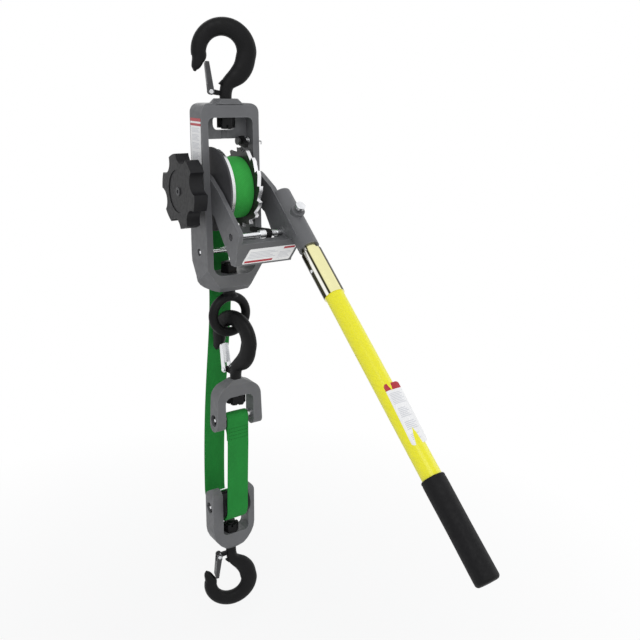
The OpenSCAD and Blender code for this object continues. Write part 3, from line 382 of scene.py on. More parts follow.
class Finish(Nodes):
    """A Principled material and short ways to add noise, masks and bump to it."""

    def __init__(self, name, base, metallic=0.0, roughness=0.5, **uniform):
        self.material = bpy.data.materials.new(name)
        super().__init__(self.material)
        self.shader = self.tree.nodes["Principled BSDF"]
        self.base = tuple(base)
        self.set("Base Color", (*self.base, 1.0))
        self.set("Metallic", metallic)
        self.set("Roughness", roughness)
        for socket, value in uniform.items():
            self.set(socket.replace("_", " "), value)
        self.last_bump = None

    def set(self, socket, value):
        """Writes a uniform value on the shader's own socket."""
        self.shader.inputs[socket].default_value = value

    def place(self, scale=(1, 1, 1), turn=(0, 0, 0), kind="Object"):
        """Coordinates of the piece, turned and stretched."""
        source = self.node("ShaderNodeTexCoord").outputs[kind]
        return self.node("ShaderNodeMapping", Vector=source, Scale=scale, Rotation=turn).outputs[0]

    def noise(self, scale, detail=3.0, vector=None):
        """Smooth noise with scale cells in a metre."""
        vector = vector or self.place()
        return self.node("ShaderNodeTexNoise", Vector=vector, Scale=scale, Detail=detail).outputs[0]

    def blend(self, factor, a, b):
        """Mixes two colours."""
        made = self.tree.nodes.new("ShaderNodeMix")
        made.data_type = "RGBA"
        self.feed(made.inputs[0], factor)
        self.feed(made.inputs[6], a)
        self.feed(made.inputs[7], b)
        return made.outputs[2]

    def shade(self, amount):
        """The base colour made darker or lighter."""
        return (*(min(1.0, c * amount) for c in self.base), 1.0)

    def mottle(self, scale, amount, vector=None):
        """Lets the base colour wander between two shades of itself."""
        wander = self.spread(self.noise(scale, 4.0, vector), 0.3, 0.7, 0.0, 1.0)
        mixed = self.blend(wander, self.shade(1 - amount), self.shade(1 + amount))
        self.colour_link(mixed)
        return mixed

    def colour_link(self, output):
        """Feeds the base colour."""
        self.tree.links.new(output, self.shader.inputs["Base Color"])

    def vary_roughness(self, scale, low, high, vector=None):
        """Lets the roughness wander between low and high."""
        spread = self.spread(self.noise(scale, 3.0, vector), 0.3, 0.7, low, high)
        self.tree.links.new(spread, self.shader.inputs["Roughness"])

    def bump(self, height, distance, strength=1.0):
        """Adds a layer of relief over those before it."""
        made = self.node("ShaderNodeBump", Height=height, Distance=distance, Strength=strength)
        if self.last_bump:
            self.tree.links.new(self.last_bump, made.inputs["Normal"])
        self.last_bump = made.outputs[0]
        self.tree.links.new(self.last_bump, self.shader.inputs["Normal"])

    def studio(self, low=0.30, high=1.0):
        """Share of the base colour that metal shows, as a painted reflection: faces that look down or
        sideways are painted darker, like the darker half of a studio mirrored in them."""
        normal = self.node("ShaderNodeNewGeometry").outputs["Normal"]
        split = self.node("ShaderNodeSeparateXYZ", Vector=normal)
        lean = self.math("ADD", split.outputs[2], self.math("MULTIPLY", split.outputs[0], -0.35))
        # painted reflection: the lean of the normal sets how dark the metal is painted
        return self.spread(lean, -0.55, 0.35, low, high)

    def edge_mask(self, radius, samples=6):
        """One on edges sharper than the radius, zero on flat faces: the rounded normal's lean."""
        rounded = self.node("ShaderNodeBevel", Radius=radius)
        rounded.samples = samples
        plain = self.node("ShaderNodeNewGeometry").outputs["Normal"]
        lean = self.tree.nodes.new("ShaderNodeVectorMath")
        lean.operation = "DOT_PRODUCT"
        self.feed(lean.inputs[0], rounded.outputs[0])
        self.feed(lean.inputs[1], plain)
        return self.spread(lean.outputs["Value"], 0.998, 0.93, 0.0, 1.0)


RUBBED_IRON = (0.07, 0.07, 0.074, 1.0)
BARE_STEEL = (0.45, 0.45, 0.46, 1.0)
GROUND_STEEL = (0.86, 0.86, 0.88, 1.0)
# painted shade of a pin end deep in its countersink
PAINTED_COUNTERSINK_SHADE = (0.02, 0.02, 0.022, 1.0)


def cast_paint(c, s):
    """Grey paint on sand cast steel: grain, orange peel and thin edges."""
    m = Finish("cast grey paint", c.cast, 0.0, 0.5)
    tone = m.mottle(28.0, 0.07)
    patches = m.spread(m.noise(90.0), 0.4, 0.62, 0.1, 0.75)
    worn = m.math("MULTIPLY", m.edge_mask(1.4 * s.cast_round), patches)
    m.colour_link(m.blend(worn, tone, m.shade(1.75)))
    m.vary_roughness(140.0, 0.42, 0.6)
    m.bump(m.noise(260.0, 3.0), 0.22 * MM, 0.6)
    m.bump(m.noise(1500.0, 2.0), 0.10 * MM, 0.5)
    return m.material


def forged_steel(c):
    """Black oxide over a drop forging: low hammer waves and scale pits."""
    m = Finish("black forged steel", c.forged, 0.0, 0.5, Specular_IOR_Level=0.16)
    tone = m.mottle(45.0, 0.25)
    rub = m.math("MULTIPLY", m.edge_mask(1.2 * MM), m.spread(m.noise(160.0), 0.5, 0.7, 0.0, 0.5))
    m.colour_link(m.blend(rub, tone, RUBBED_IRON))
    m.vary_roughness(110.0, 0.38, 0.58)
    m.bump(m.noise(90.0, 2.0), 0.5 * MM, 0.5)
    m.bump(m.noise(900.0, 3.0), 0.12 * MM, 0.5)
    return m.material


def zinc(m):
    """Gives a finish the faint clouding and fine drawing lines of bright zinc, and a painted
    reflection that darkens faces looking down or sideways. Returns its colour.
    """
    m.vary_roughness(320.0, 0.16, 0.34)
    m.bump(m.noise(2600.0, 2.0), 0.03 * MM, 0.5)
    # painted reflection: dark zinc painted on faces that look down or sideways, clouded zinc elsewhere
    return m.blend(m.studio(), m.shade(0.16), m.mottle(160.0, 0.08))


def bright_plate(c):
    """Bright zinc, with a painted reflection that darkens faces looking down or sideways."""
    m = Finish("bright zinc plate", c.plated, 1.0, 0.24)
    m.colour_link(zinc(m))
    return m.material


def latch_steel(c):
    """Dark pressed steel with bright rubbed edges."""
    m = Finish("dark pressed steel", c.latch, 0.3, 0.42, Specular_IOR_Level=0.3)
    tone = m.mottle(120.0, 0.18)
    m.colour_link(m.blend(m.edge_mask(0.6 * MM), tone, BARE_STEEL))
    m.vary_roughness(260.0, 0.34, 0.5)
    m.bump(m.noise(1500.0, 2.0), 0.04 * MM, 0.5)
    return m.material


def sunk_pin(c, node, reach, stub):
    """Bright pin whose ends are painted dark with the shade of their countersinks, but for a small
    turned stub. The ends are the parts further than reach from the middle of the pin."""
    m = Finish(node.replace("_", " ") + " steel", c.plated, 1.0, 0.26)
    # the pin body keeps the painted reflection of bright zinc
    tone = zinc(m)
    centre = middle(node)
    from_centre = m.node("ShaderNodeMapping", Vector=m.place(), Location=tuple(-centre)).outputs[0]
    split = m.node("ShaderNodeSeparateXYZ", Vector=from_centre)
    radius = m.math("SQRT", m.math("ADD", m.math("POWER", split.outputs[1], 2.0),
                                   m.math("POWER", split.outputs[2], 2.0)))
    end = m.math("GREATER_THAN", m.math("ABSOLUTE", split.outputs[0]), reach)
    # painted shade: the pin's ends outside the stub are painted dark as shade in the countersinks
    sunk = m.math("MULTIPLY", end, m.math("GREATER_THAN", radius, stub))
    m.colour_link(m.blend(sunk, tone, PAINTED_COUNTERSINK_SHADE))
    return m.material


def flange_paint(c):
    """Dark satin paint with faint turning rings about the drum axis."""
    m = Finish("dark flange paint", c.flange, 0.0, 0.4, Specular_IOR_Level=0.25)
    m.mottle(40.0, 0.12)
    m.vary_roughness(200.0, 0.32, 0.46)
    centred = m.node("ShaderNodeMapping", Vector=m.place(), Location=(0, 0, -DRUM.z)).outputs[0]
    rings = m.node("ShaderNodeTexWave", Vector=centred, Scale=420.0, Distortion=0.4)
    rings.wave_type = "RINGS"
    rings.rings_direction = "X"
    m.bump(rings.outputs["Fac"], 0.02 * MM, 0.5)
    return m.material


def hardened_steel(c):
    """Hardened steel: dark oiled sides, and teeth ground bright round the rim."""
    m = Finish("hardened steel", c.ratchet, 0.0, 0.36, Specular_IOR_Level=0.3)
    tone = m.mottle(120.0, 0.2)
    normal = m.node("ShaderNodeSeparateXYZ", Vector=m.node("ShaderNodeNewGeometry").outputs["Normal"])
    rim = m.math("LESS_THAN", m.math("ABSOLUTE", normal.outputs[0]), 0.6)
    m.colour_link(m.blend(rim, tone, GROUND_STEEL))
    m.tree.links.new(rim, m.shader.inputs["Metallic"])
    m.vary_roughness(400.0, 0.24, 0.42)
    m.bump(m.noise(1800.0, 2.0), 0.04 * MM, 0.5)
    return m.material


def bronze_metal(c):
    """Oil bronze, slightly tarnished."""
    m = Finish("oil bronze", c.bronze, 1.0, 0.38)
    m.mottle(220.0, 0.22)
    m.vary_roughness(380.0, 0.3, 0.5)
    m.bump(m.noise(1600.0, 3.0), 0.04 * MM, 0.5)
    return m.material


def yellow_chromate(c):
    """Pale yellow chromate over zinc: a polished tube with dark bands of the studio and a white
    highlight painted along its length as reflections, and soft streaks along the handle."""
    m = Finish("yellow chromate", c.chromate, 1.0, 0.2)
    along = m.place((140, 14, 140), (-HANDLE_DROP, 0, 0))
    m.mottle(1.0, 0.12, along)
    normal = m.node("ShaderNodeTexCoord").outputs["Normal"]
    turned = m.node("ShaderNodeMapping", Vector=normal, Rotation=(-HANDLE_DROP, 0, 0)).outputs[0]
    split = m.node("ShaderNodeSeparateXYZ", Vector=turned)
    angle = m.math("ARCTAN2", split.outputs[0], split.outputs[2])
    # painted reflection: dark bands and a white highlight painted round the tube by the angle of its
    # normal
    pale, dark, white = m.shade(1.0), (0.03, 0.028, 0.01, 1.0), (0.95, 0.94, 0.88, 1.0)
    painted_reflection_stops = ((-180, pale), (-132, dark), (-80, dark), (-75, white), (-62, white), (-58, dark),
             (-50, dark), (-46, pale), (14, pale), (20, dark), (58, dark), (64, pale), (180, pale))
    painted_reflection_ramp = m.node("ShaderNodeValToRGB", Fac=m.spread(angle, -math.pi, math.pi, 0.0, 1.0))
    elements = painted_reflection_ramp.color_ramp.elements
    for degrees, tone in painted_reflection_stops[1:-1]:
        elements.new((degrees + 180) / 360).color = tone
    elements[0].color = elements[len(elements) - 1].color = pale
    # the painted reflection goes on the tube's sides; its ends keep the pale colour
    painted_reflection_faces = m.math("LESS_THAN", m.math("ABSOLUTE", split.outputs[1]), 0.5)
    m.colour_link(m.blend(painted_reflection_faces, pale, painted_reflection_ramp.outputs[0]))
    m.vary_roughness(1.4, 0.12, 0.28, along)
    m.bump(m.noise(1900.0, 2.0), 0.02 * MM, 0.4)
    return m.material


def webbing(c, s, name="green webbing", base=None):
    """Woven strap on its own UV map in metres: ribs run along it, and cross yarns dip between them,
    shifted by half a pitch from rib to rib; the hollows between them are painted with shade."""
    m = Finish(name, base or c.webbing, 0.0, 0.78, Specular_IOR_Level=0.2)
    split = m.node("ShaderNodeSeparateXYZ", Vector=m.node("ShaderNodeTexCoord").outputs["UV"])
    across, along = split.outputs[0], split.outputs[1]
    rib = m.math("DIVIDE", across, s.rib_pitch)
    odd = m.math("MODULO", m.math("FLOOR", m.math("ADD", rib, 100.0)), 2.0)
    rib_wave = m.math("ABSOLUTE", m.math("SINE", m.math("MULTIPLY", rib, math.pi)))
    pick = m.math("ADD", m.math("DIVIDE", along, s.pick_pitch), m.math("MULTIPLY", odd, 0.5))
    pick_wave = m.math("ABSOLUTE", m.math("SINE", m.math("MULTIPLY", pick, math.pi)))
    height = m.math("MULTIPLY", rib_wave, m.math("ADD", m.math("MULTIPLY", pick_wave, 0.6), 0.4))
    fibre = m.noise(1.0, 3.0, m.place((5200, 700, 1), kind="UV"))
    cloud = m.spread(m.noise(1.0, 3.0, m.place((60, 22, 1), kind="UV")), 0.3, 0.7, 0.0, 1.0)
    tone = m.blend(cloud, m.shade(0.9), m.shade(1.12))
    # painted shade: the hollows of the weave are painted darker
    deep = m.blend(m.spread(height, 0.0, 0.8, 0.0, 1.0), m.shade(0.55), tone)
    m.colour_link(m.blend(m.spread(fibre, 0.35, 0.7, 0.0, 0.25), deep, m.shade(1.35)))
    m.bump(height, 0.28 * MM, 0.7)
    m.bump(fibre, 0.06 * MM, 0.5)
    return m.material


def moulded(name, base, roughness, grain):
    """Moulded plastic or rubber: fine matt grain and soft clouding."""
    m = Finish(name, base, 0.0, roughness, Specular_IOR_Level=0.2)
    m.mottle(50.0, 0.14)
    m.vary_roughness(240.0, roughness - 0.07, roughness + 0.08)
    m.bump(m.noise(grain, 2.0), 0.09 * MM, 0.6)
    return m.material


def tube_jacket(c):
    """Glossy jacket over pulled glass fibre: faint streaks along the tube."""
    m = Finish("yellow handle jacket", c.tube, 0.0, 0.28, Coat_Weight=0.2, Coat_Roughness=0.2)
    along = m.place((420, 6, 420), (-HANDLE_DROP, 0, 0))
    m.mottle(1.0, 0.05, along)
    m.vary_roughness(1.0, 0.22, 0.36, along)
    m.bump(m.noise(1.0, 2.0, along), 0.05 * MM, 0.5)
    return m.material


def sticker(c, name, marks):
    """White film with plain marks on its own UV map. Each mark is a box (u0, u1, v0, v1), with a
    number of bars, or none for a solid red band."""
    m = Finish(name, c.film, 0.0, 0.35, Coat_Weight=0.2, Coat_Roughness=0.2)
    split = m.node("ShaderNodeSeparateXYZ", Vector=m.node("ShaderNodeTexCoord").outputs["UV"])
    u, v = split.outputs[0], split.outputs[1]
    scuff = m.spread(m.noise(70.0, 4.0), 0.3, 0.7, 0.0, 1.0)
    tone = m.blend(scuff, m.shade(0.96), m.shade(1.03))
    for u0, u1, v0, v1, bars in marks:
        sides = (m.math("GREATER_THAN", u, u0), m.math("LESS_THAN", u, u1),
                 m.math("GREATER_THAN", v, v0), m.math("LESS_THAN", v, v1))
        mask = m.math("MULTIPLY", m.math("MULTIPLY", sides[0], sides[1]),
                      m.math("MULTIPLY", sides[2], sides[3]))
        ink = c.band
        if bars:
            row = m.math("MULTIPLY", m.spread(v, v0, v1, 0.0, 1.0), float(bars))
            mask = m.math("MULTIPLY", mask, m.math("LESS_THAN", m.math("FRACT", row), 0.5))
            short = m.math("MULTIPLY", m.math("MODULO", m.math("FLOOR", row), 3.0), 0.12 * (u1 - u0))
            mask = m.math("MULTIPLY", mask, m.math("LESS_THAN", u, m.math("SUBTRACT", u1, short)))
            ink = c.print_grey
        tone = m.blend(mask, tone, (*ink, 1.0))
    m.colour_link(tone)
    m.vary_roughness(300.0, 0.28, 0.42)
    m.bump(m.noise(500.0, 2.0), 0.02 * MM, 0.4)
    return m.material


def finishes():
    """All shared materials by slot, made once."""
    if FINISHES:
        return FINISHES
    scene = bpy.context.scene
    c, s = scene.come_along_colours, scene.come_along_sizes
    makers = {
        "cast_grey": lambda: cast_paint(c, s),
        "forged_black": lambda: forged_steel(c),
        "plated": lambda: bright_plate(c),
        "latch_steel": lambda: latch_steel(c),
        "bronze": lambda: bronze_metal(c),
        "dark_steel": lambda: flange_paint(c),
        "ratchet_steel": lambda: hardened_steel(c),
        "webbing": lambda: webbing(c, s),
        # wound webbing: a lighter copy of the webbing, painted light on the strap on the drum
        "wound": lambda: webbing(c, s, "wound webbing", c.wound),
        "wheel_black": lambda: moulded("handwheel nylon", c.wheel, 0.42, 1300.0),
        "chromate": lambda: yellow_chromate(c),
        "tube_yellow": lambda: tube_jacket(c),
        "grip_black": lambda: moulded("grip rubber", c.grip, 0.6, 2100.0),
        "roller_dark": lambda: moulded("roller nylon", c.wheel, 0.5, 1700.0),
    }
    FINISHES.update({slot: make() for slot, make in makers.items()})
    return FINISHES


FINISHES = {}
NUT_EDGE = 0.8 * MM
WIRE_SHARP = 80.0


def dress_nodes(nodes, edge, segments=2, sharp=32.0):
    """Dresses several nodes with the material of their slots."""
    materials = finishes()
    for node in nodes:
        dressed(node, materials[SLOT_OF[node]], edge, segments, sharp)


# --- hooks


HOOK_NECK = 82.0
BOWL_MIDDLE = 33.0
BOWL_CENTRE = (-3.0, -21.0)
TIP = [(-41.6, -44.8, 4.6, 7.0), (-41.2, -43.0, 8.6, 10.5), (-40.4, -40.5, 11.5, 13.0),
       (-38.9, -37.0, 13.8, 14.6), (-37.4, -33.0, 15.6, 15.8)]
TAIL = [(28.6, -28.0, 27.2), (27.2, -34.5, 27.3), (25.0, -40.5, 27.2), (21.5, -46.3, 26.8),
        (17.0, -51.4, 25.7), (12.5, -55.0, 23.5), (8.0, -58.5, 21.1), (4.2, -62.2, 19.3),
        (1.7, -67.2, 17.8), (0.4, -73.0, 17.0), (0.0, -78.0, 16.6), (0.0, -81.8, 16.4)]
LOW_NECK = 6.5
CROWN = 24.0
SHANK_R = 7.5
COLLAR_R = 8.2
LUG_HALF_T = 2.2
BOWL_STEPS = 20


def hook_stations():
    """Middle line of a hook with its two thicknesses, in millimetres: nose, bowl and neck."""
    a = np.radians(190.0 - 10.0 * np.arange(BOWL_STEPS))
    u = np.arange(BOWL_STEPS) / BOWL_STEPS
    thick = np.where(u < 0.5, 24.0 - 4.0 * (1 - 2 * u), 24.0 + 3.5 * (2 * u - 1))
    depth = 18.0 - 1.5 * np.abs(2 * u - 1)
    bowl = np.stack([BOWL_CENTRE[0] + BOWL_MIDDLE * np.cos(a),
                     BOWL_CENTRE[1] + BOWL_MIDDLE * np.sin(a), thick, depth], -1)
    neck = np.array([(*t, 16.5) for t in TAIL])
    return np.concatenate([np.array(TIP), bowl, neck])


def hook_shell(flash, rows=190, columns=56):
    """Forged hook: a squarish oval carried along the middle line, with the low trimmed flash line
    where the two dies met, and a round nose."""
    s = curve_through(hook_stations(), rows)
    run = np.gradient(s[:, :2], axis=0)
    run /= np.linalg.norm(run, axis=1, keepdims=True)
    out = np.stack([-run[:, 1], run[:, 0]], -1)
    a = np.linspace(0, 2 * np.pi, columns, endpoint=False)
    squarish = lambda v: np.sign(v) * np.abs(v) ** 0.85
    ridge = flash / MM * np.exp(-(np.sin(a) / 0.1) ** 2) * np.sign(np.cos(a))
    across = s[:, 2, None] / 2 * squarish(np.cos(a)) + ridge
    deep = -s[:, 3, None] / 2 * squarish(np.sin(a))
    points = np.stack([s[:, 0, None] + across * out[:, 0, None], deep,
                       s[:, 1, None] + across * out[:, 1, None]], -1)
    # Round nose: a few shrinking rings ahead of the first one
    steps = np.radians([80.0, 60.0, 40.0, 20.0])
    ahead = -np.array([run[0, 0], 0.0, run[0, 1]]) * 2.2
    centre = np.array([s[0, 0], 0.0, s[0, 1]])
    nose = np.stack([centre + (points[0] - centre) * math.sin(t) + ahead * math.cos(t)
                     for t in steps[::-1]])
    return grid(np.concatenate([nose, points]) * MM, round_v=True, caps=True)


def disc_outline(centre, radius, count=20):
    """Points round a circle."""
    a = np.linspace(0, 2 * np.pi, count, endpoint=False)
    return np.stack([centre[0] + radius * np.cos(a), centre[1] + radius * np.sin(a)], -1)


def plate_shell(outline, y0, y1):
    """Flat outline (x, z) given a thickness from y0 to y1, in millimetres."""
    o = np.asarray(outline, float)
    points = np.stack([np.stack([o[:, 0], np.full(len(o), y), o[:, 1]], -1) for y in (y0, y1)])
    return grid(points * MM, round_v=True, caps=True)


def hook_places():
    """Matrix of each hook by its name's first word."""
    block_y = middle("bottom_hook_nut").y
    anchor = middle("anchor_hook_nut")
    turn = lambda degrees: Matrix.Rotation(math.radians(degrees), 4, "Z")
    return {
        "top": turn(-20.0),
        "anchor": Matrix.Translation((anchor.x, anchor.y, ANCHOR_SADDLE)) @ turn(-76.0),
        "bottom": Matrix.Translation((0, block_y, BOTTOM_SADDLE)) @ turn(-15.0)
        @ Matrix.Rotation(math.pi, 4, "X"),
    }


def make_hooks(sizes):
    """Three swivel hooks with their shanks and latch lugs."""
    black = finishes()["forged_black"]
    pin = (-20.5, 9.0 - HOOK_NECK)
    lug = [(pin[0] - 1.5, pin[1] - 3.6), (-5, 3 - HOOK_NECK), (0, 3 - HOOK_NECK),
           (0, 8.5 - HOOK_NECK), (pin[0] + 2, pin[1] + 3.4), (pin[0] - 1, pin[1] + 3.9)]
    spur = [(-10, 19.5 - HOOK_NECK), (-4.5, 25 - HOOK_NECK), (0, 19 - HOOK_NECK), (-4, 16 - HOOK_NECK)]
    for word, place in hook_places().items():
        node = word + "_hook"
        low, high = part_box(node)
        shank_end = (high.z - low.z) / MM - CROWN
        neck = HOOK_NECK + (LOW_NECK if word == "bottom" else 0.0)
        shank = lathe([(0, -HOOK_NECK + 6), (COLLAR_R, -HOOK_NECK + 6), (COLLAR_R, -neck + 0.6),
                       (7.9, -neck), (SHANK_R, -neck), (SHANK_R, 1 - shank_end),
                       (6.6, -shank_end), (0, -shank_end)])
        shank = (shank[0] * MM, shank[1], shank[2])
        plates = [plate_shell(o, -LUG_HALF_T, LUG_HALF_T) for o in (lug, disc_outline(pin, 4.2), spur)]
        shell = joined([hook_shell(sizes.flash_rise), shank, *plates])
        obj = new_object(node + "_forging", placed(shell, place), 50.0)
        finished(obj, node, black)


# --- strap


def strap_shell(path, start, thickness, columns=14):
    """Webbing carried along a path of (y, z) points: a flat band with rounded selvedges, its UV map
    in metres, across and along, with the length counted from start. Returns the shell and its end."""
    p = np.asarray(path, float)
    run = np.gradient(p, axis=0)
    run /= np.linalg.norm(run, axis=1, keepdims=True)
    out = np.stack([-run[:, 1], run[:, 0]], -1)
    along = start + np.concatenate([[0], np.cumsum(np.linalg.norm(np.diff(p, axis=0), axis=1))])
    a = np.linspace(0, np.pi, columns)
    x = -np.cos(a) * STRAP_W / 2
    h = thickness / 2 * np.clip(np.sin(a), 0, 1) ** 0.35
    x, h = np.concatenate([x, x[::-1]]), np.concatenate([h, -h[::-1]])
    points = np.stack([np.broadcast_to(STRAP_X + x, (len(p), len(x))),
                       p[:, 0, None] + h * out[:, 0, None], p[:, 1, None] + h * out[:, 1, None]], -1)
    u = np.concatenate([x, x[:1]]) + STRAP_W
    uv = np.stack(np.broadcast_arrays(u[None, :], along[:, None]), -1)
    return grid(points, uv, round_v=True, caps=True), along[-1]


def arc(cy, cz, radius, first, last, count, tall=None):
    """Points (y, z) round a circle, or an oval with another upright radius; angles in degrees,
    from the front upwards."""
    a = np.radians(np.linspace(first, last, count))
    return np.stack([cy - radius * np.cos(a), cz + (tall or radius) * np.sin(a)], -1)


def straight(a, b, count):
    """Evenly spaced points from a to b."""
    t = np.linspace(0, 1, count)[:, None]
    return np.asarray(a) * (1 - t) + np.asarray(b) * t


def bezier(p, count):
    """Cubic Bezier curve."""
    t = np.linspace(0, 1, count)[:, None]
    a, b, c, d = (np.asarray(v, float) for v in p)
    return (1 - t) ** 3 * a + 3 * t * (1 - t) ** 2 * b + 3 * t**2 * (1 - t) * c + t**3 * d


def strap_paths(sizes):
    """The strap's run: wound on the drum, down the back, round the roller and up to the sewn eye."""
    t = sizes.strap_t
    leave_r = ROLL_R - t / 2
    wrap_r = ROLLER_R + t / 2 + 0.3 * MM
    hub_r = HUB_R + t / 2
    bow_back, back_y, drop = 65.0 * MM, 31.0 * MM, 27.0 * MM
    bow_r = (bow_back - ROLLER.y) / 2
    bow_z = ROLLER.z - drop + bow_r
    turns = (leave_r - hub_r) / (t + sizes.wind_gap)
    angles = np.radians(180.0 - 360.0 * turns * np.linspace(1, 0, int(56 * turns)))
    radii = np.linspace(hub_r, leave_r, len(angles))
    winding = np.stack([-radii * np.cos(angles), DRUM.z + radii * np.sin(angles)], -1)
    z = DRUM.z
    back = np.concatenate([
        straight((leave_r, z), (leave_r, z - 0.036), 4),
        bezier([(leave_r, z - 0.040), (leave_r, z - 0.100), (back_y, z - 0.110),
                (back_y, z - 0.156)], 20),
        bezier([(back_y, z - 0.156), (back_y, z - 0.240), (bow_back, z - 0.330),
                (bow_back, bow_z)], 44)[1:]])
    bight = np.concatenate([
        arc(bow_back - bow_r, bow_z, bow_r, 180, 270, 22),
        straight((bow_back - bow_r - 2 * MM, ROLLER.z - drop), (ROLLER.y + 2 * MM, ROLLER.z - drop), 6),
        arc(ROLLER.y, ROLLER.z, wrap_r, -90, 0, 22, drop)])
    eye_r = CLEVIS_PIN_R + t / 2 + 0.1 * MM
    eye_y = CLEVIS_PIN.y - eye_r
    eye_low = CLEVIS_PIN.z - SEWN_DROP
    front = np.concatenate([
        straight((ROLLER.y - wrap_r, ROLLER.z), (ROLLER.y - wrap_r, ROLLER.z + 6 * MM), 3),
        straight((ROLLER.y - wrap_r, ROLLER.z + 12 * MM), (eye_y, eye_low - 6 * MM), 22),
        straight((eye_y, eye_low - 4 * MM), (eye_y, eye_low), 3)])
    inner = eye_y + t - 0.1 * MM
    loop = np.concatenate([
        straight((eye_y, eye_low), (eye_y, CLEVIS_PIN.z - 1 * MM), 12),
        arc(CLEVIS_PIN.y, CLEVIS_PIN.z, eye_r, 0, 180, 26),
        [(CLEVIS_PIN.y + eye_r, CLEVIS_PIN.z - 6 * MM)],
        bezier([(CLEVIS_PIN.y + eye_r - 0.4 * MM, CLEVIS_PIN.z - 8 * MM),
                (CLEVIS_PIN.y + 3 * MM, CLEVIS_PIN.z - 16 * MM),
                (inner, CLEVIS_PIN.z - 18 * MM), (inner, eye_low + 12 * MM)], 12),
        [(inner, eye_low + 4 * MM)]])
    return {"winding": winding, "back": back, "bight": bight, "front": front, "loop": loop}


def stitch_shell(centre, span, rise):
    """One stitch: a low oval bead along span."""
    u = np.linspace(0, np.pi, 6)
    v = np.linspace(0, 2 * np.pi, 6, endpoint=False)
    span = np.asarray(span)
    side = np.cross(span / np.linalg.norm(span), (0, 1, 0))
    points = (np.asarray(centre) - span / 2 * np.cos(u)[:, None, None]
              + rise * np.sin(u)[:, None, None] * (side * np.cos(v)[:, None]
                                                   + np.array((0, 1.0, 0)) * np.sin(v)[:, None]))
    return grid(points, round_v=True, caps=True)


def make_strap(sizes, colours):
    """The webbing in five lengths that meet end to end, and the thread of the sewn eye."""
    green = finishes()["webbing"]
    at = 0.0
    pieces = {}
    for name, path in strap_paths(sizes).items():
        shell, at = strap_shell(path, at, sizes.strap_t)
        pieces[name] = new_object("strap_" + name, shell, 60.0)
    # the winding gets the lighter copy of the webbing, painted light
    finished(pieces["winding"], "strap_roll", finishes()["wound"])
    finished(pieces["bight"], "strap_bight", green)
    finished(pieces["loop"], "strap_eye", green)
    low, high = ROLLER.z, CLEVIS_PIN.z - SEWN_DROP
    bow_z = pieces["bight"].data.vertices[0].co.z
    for name, node, top, bottom in (("back", "back_strand", DRUM.z, bow_z),
                                    ("front", "front_strand", high, low)):
        obj = pieces[name]
        obj.data.materials.append(green)
        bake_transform(obj)
        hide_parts(node)
    thread = webbing(colours, sizes, "green thread", colours.thread)
    face_y = CLEVIS_PIN.y - CLEVIS_PIN_R - sizes.strap_t - 0.2 * MM
    rows = np.linspace(high + 6 * MM, high + 24 * MM, 4)
    columns = STRAP_X + np.linspace(-0.42, 0.42, 9) * STRAP_W
    stitches = [stitch_shell((x, face_y, z), (sizes.stitch_l, 0, 0), 0.35 * MM)
                for z in rows for x in columns]
    sides = np.arange(rows[0] + 2 * MM, rows[-1], 1.5 * sizes.stitch_l)
    stitches += [stitch_shell((x, face_y, z), (0, 0, sizes.stitch_l), 0.35 * MM)
                 for x in (columns[0], columns[-1]) for z in sides]
    sewn = new_object("strap_stitches", joined(stitches), 60.0)
    sewn.data.materials.append(thread)
    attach(sewn, "frame")


# --- ring, grip and labels


def make_ring():
    """Forged eye: a torus, and a collar turned about Z up into the frame."""
    ring_r, bar_r = 27.5 * MM, 7.0 * MM
    low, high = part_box("ring_eye")
    centre_z = low.z + ring_r + bar_r
    u = np.linspace(0, 2 * np.pi, 120, endpoint=False)[:, None]
    v = np.linspace(0, 2 * np.pi, 36, endpoint=False)[None, :]
    reach = ring_r + bar_r * np.cos(v)
    points = np.stack([reach * np.cos(u), middle("ring_eye").y + bar_r * np.sin(v) + 0 * u,
                       centre_z + reach * np.sin(u)], -1)
    torus = grid(points, round_u=True, round_v=True)
    foot = ring_r + bar_r - 3.0 * MM
    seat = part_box("frame")[0].z - centre_z
    profile = [(0, foot - 3 * MM), (13.5 * MM, foot - 3 * MM), (12.4 * MM, foot - 1.2 * MM),
               (10.2 * MM, foot + 1.4 * MM), (9.0 * MM, foot + 3.6 * MM), (8.8 * MM, seat - 0.4 * MM),
               (7.0 * MM, seat - 0.4 * MM), (7.0 * MM, high.z - centre_z - 1 * MM),
               (6.2 * MM, high.z - centre_z), (0, high.z - centre_z)]
    collar = lathe(profile, 48, Matrix.Translation((0, middle("ring_eye").y, centre_z)))
    obj = new_object("ring_forging", joined([torus, collar]), 50.0)
    finished(obj, "ring_eye", finishes()["forged_black"])


def make_grip(sizes):
    """Rubber grip turned about the handle: bead at its mouth, soft swell and a domed end."""
    low, high, r = GRIP_START, GRIP_END, GRIP_R
    s = np.linspace(0, 1, 40)
    body = r - 0.25 * MM * np.sin(np.pi * s) ** 2
    run = low + 5 * MM + s * (high - low - 12 * MM)
    mouth = [(TUBE_R, low + 4 * MM), (TUBE_R + 0.2 * MM, low + 0.3 * MM), (r - 0.6 * MM, low),
             (r - 0.05 * MM, low + 0.9 * MM), (r, low + 2.4 * MM), (r - sizes.grip_bead, low + 3.8 * MM)]
    angle = np.linspace(0, np.pi / 2, 9)
    end = np.stack([r - 4.5 * MM + 4.5 * MM * np.cos(angle),
                    high - 5 * MM + 5 * MM * np.sin(angle)], -1)
    profile = np.concatenate([mouth, np.stack([body, run], -1), end,
                              [(6 * MM, high), (5 * MM, high - 0.8 * MM), (0, high - 0.8 * MM)]])
    shell = lathe(profile, 64, HANDLE @ Matrix.Rotation(math.pi / 2, 4, "X"))
    finished(new_object("grip_rubber", shell, 45.0), "grip", finishes()["grip_black"])


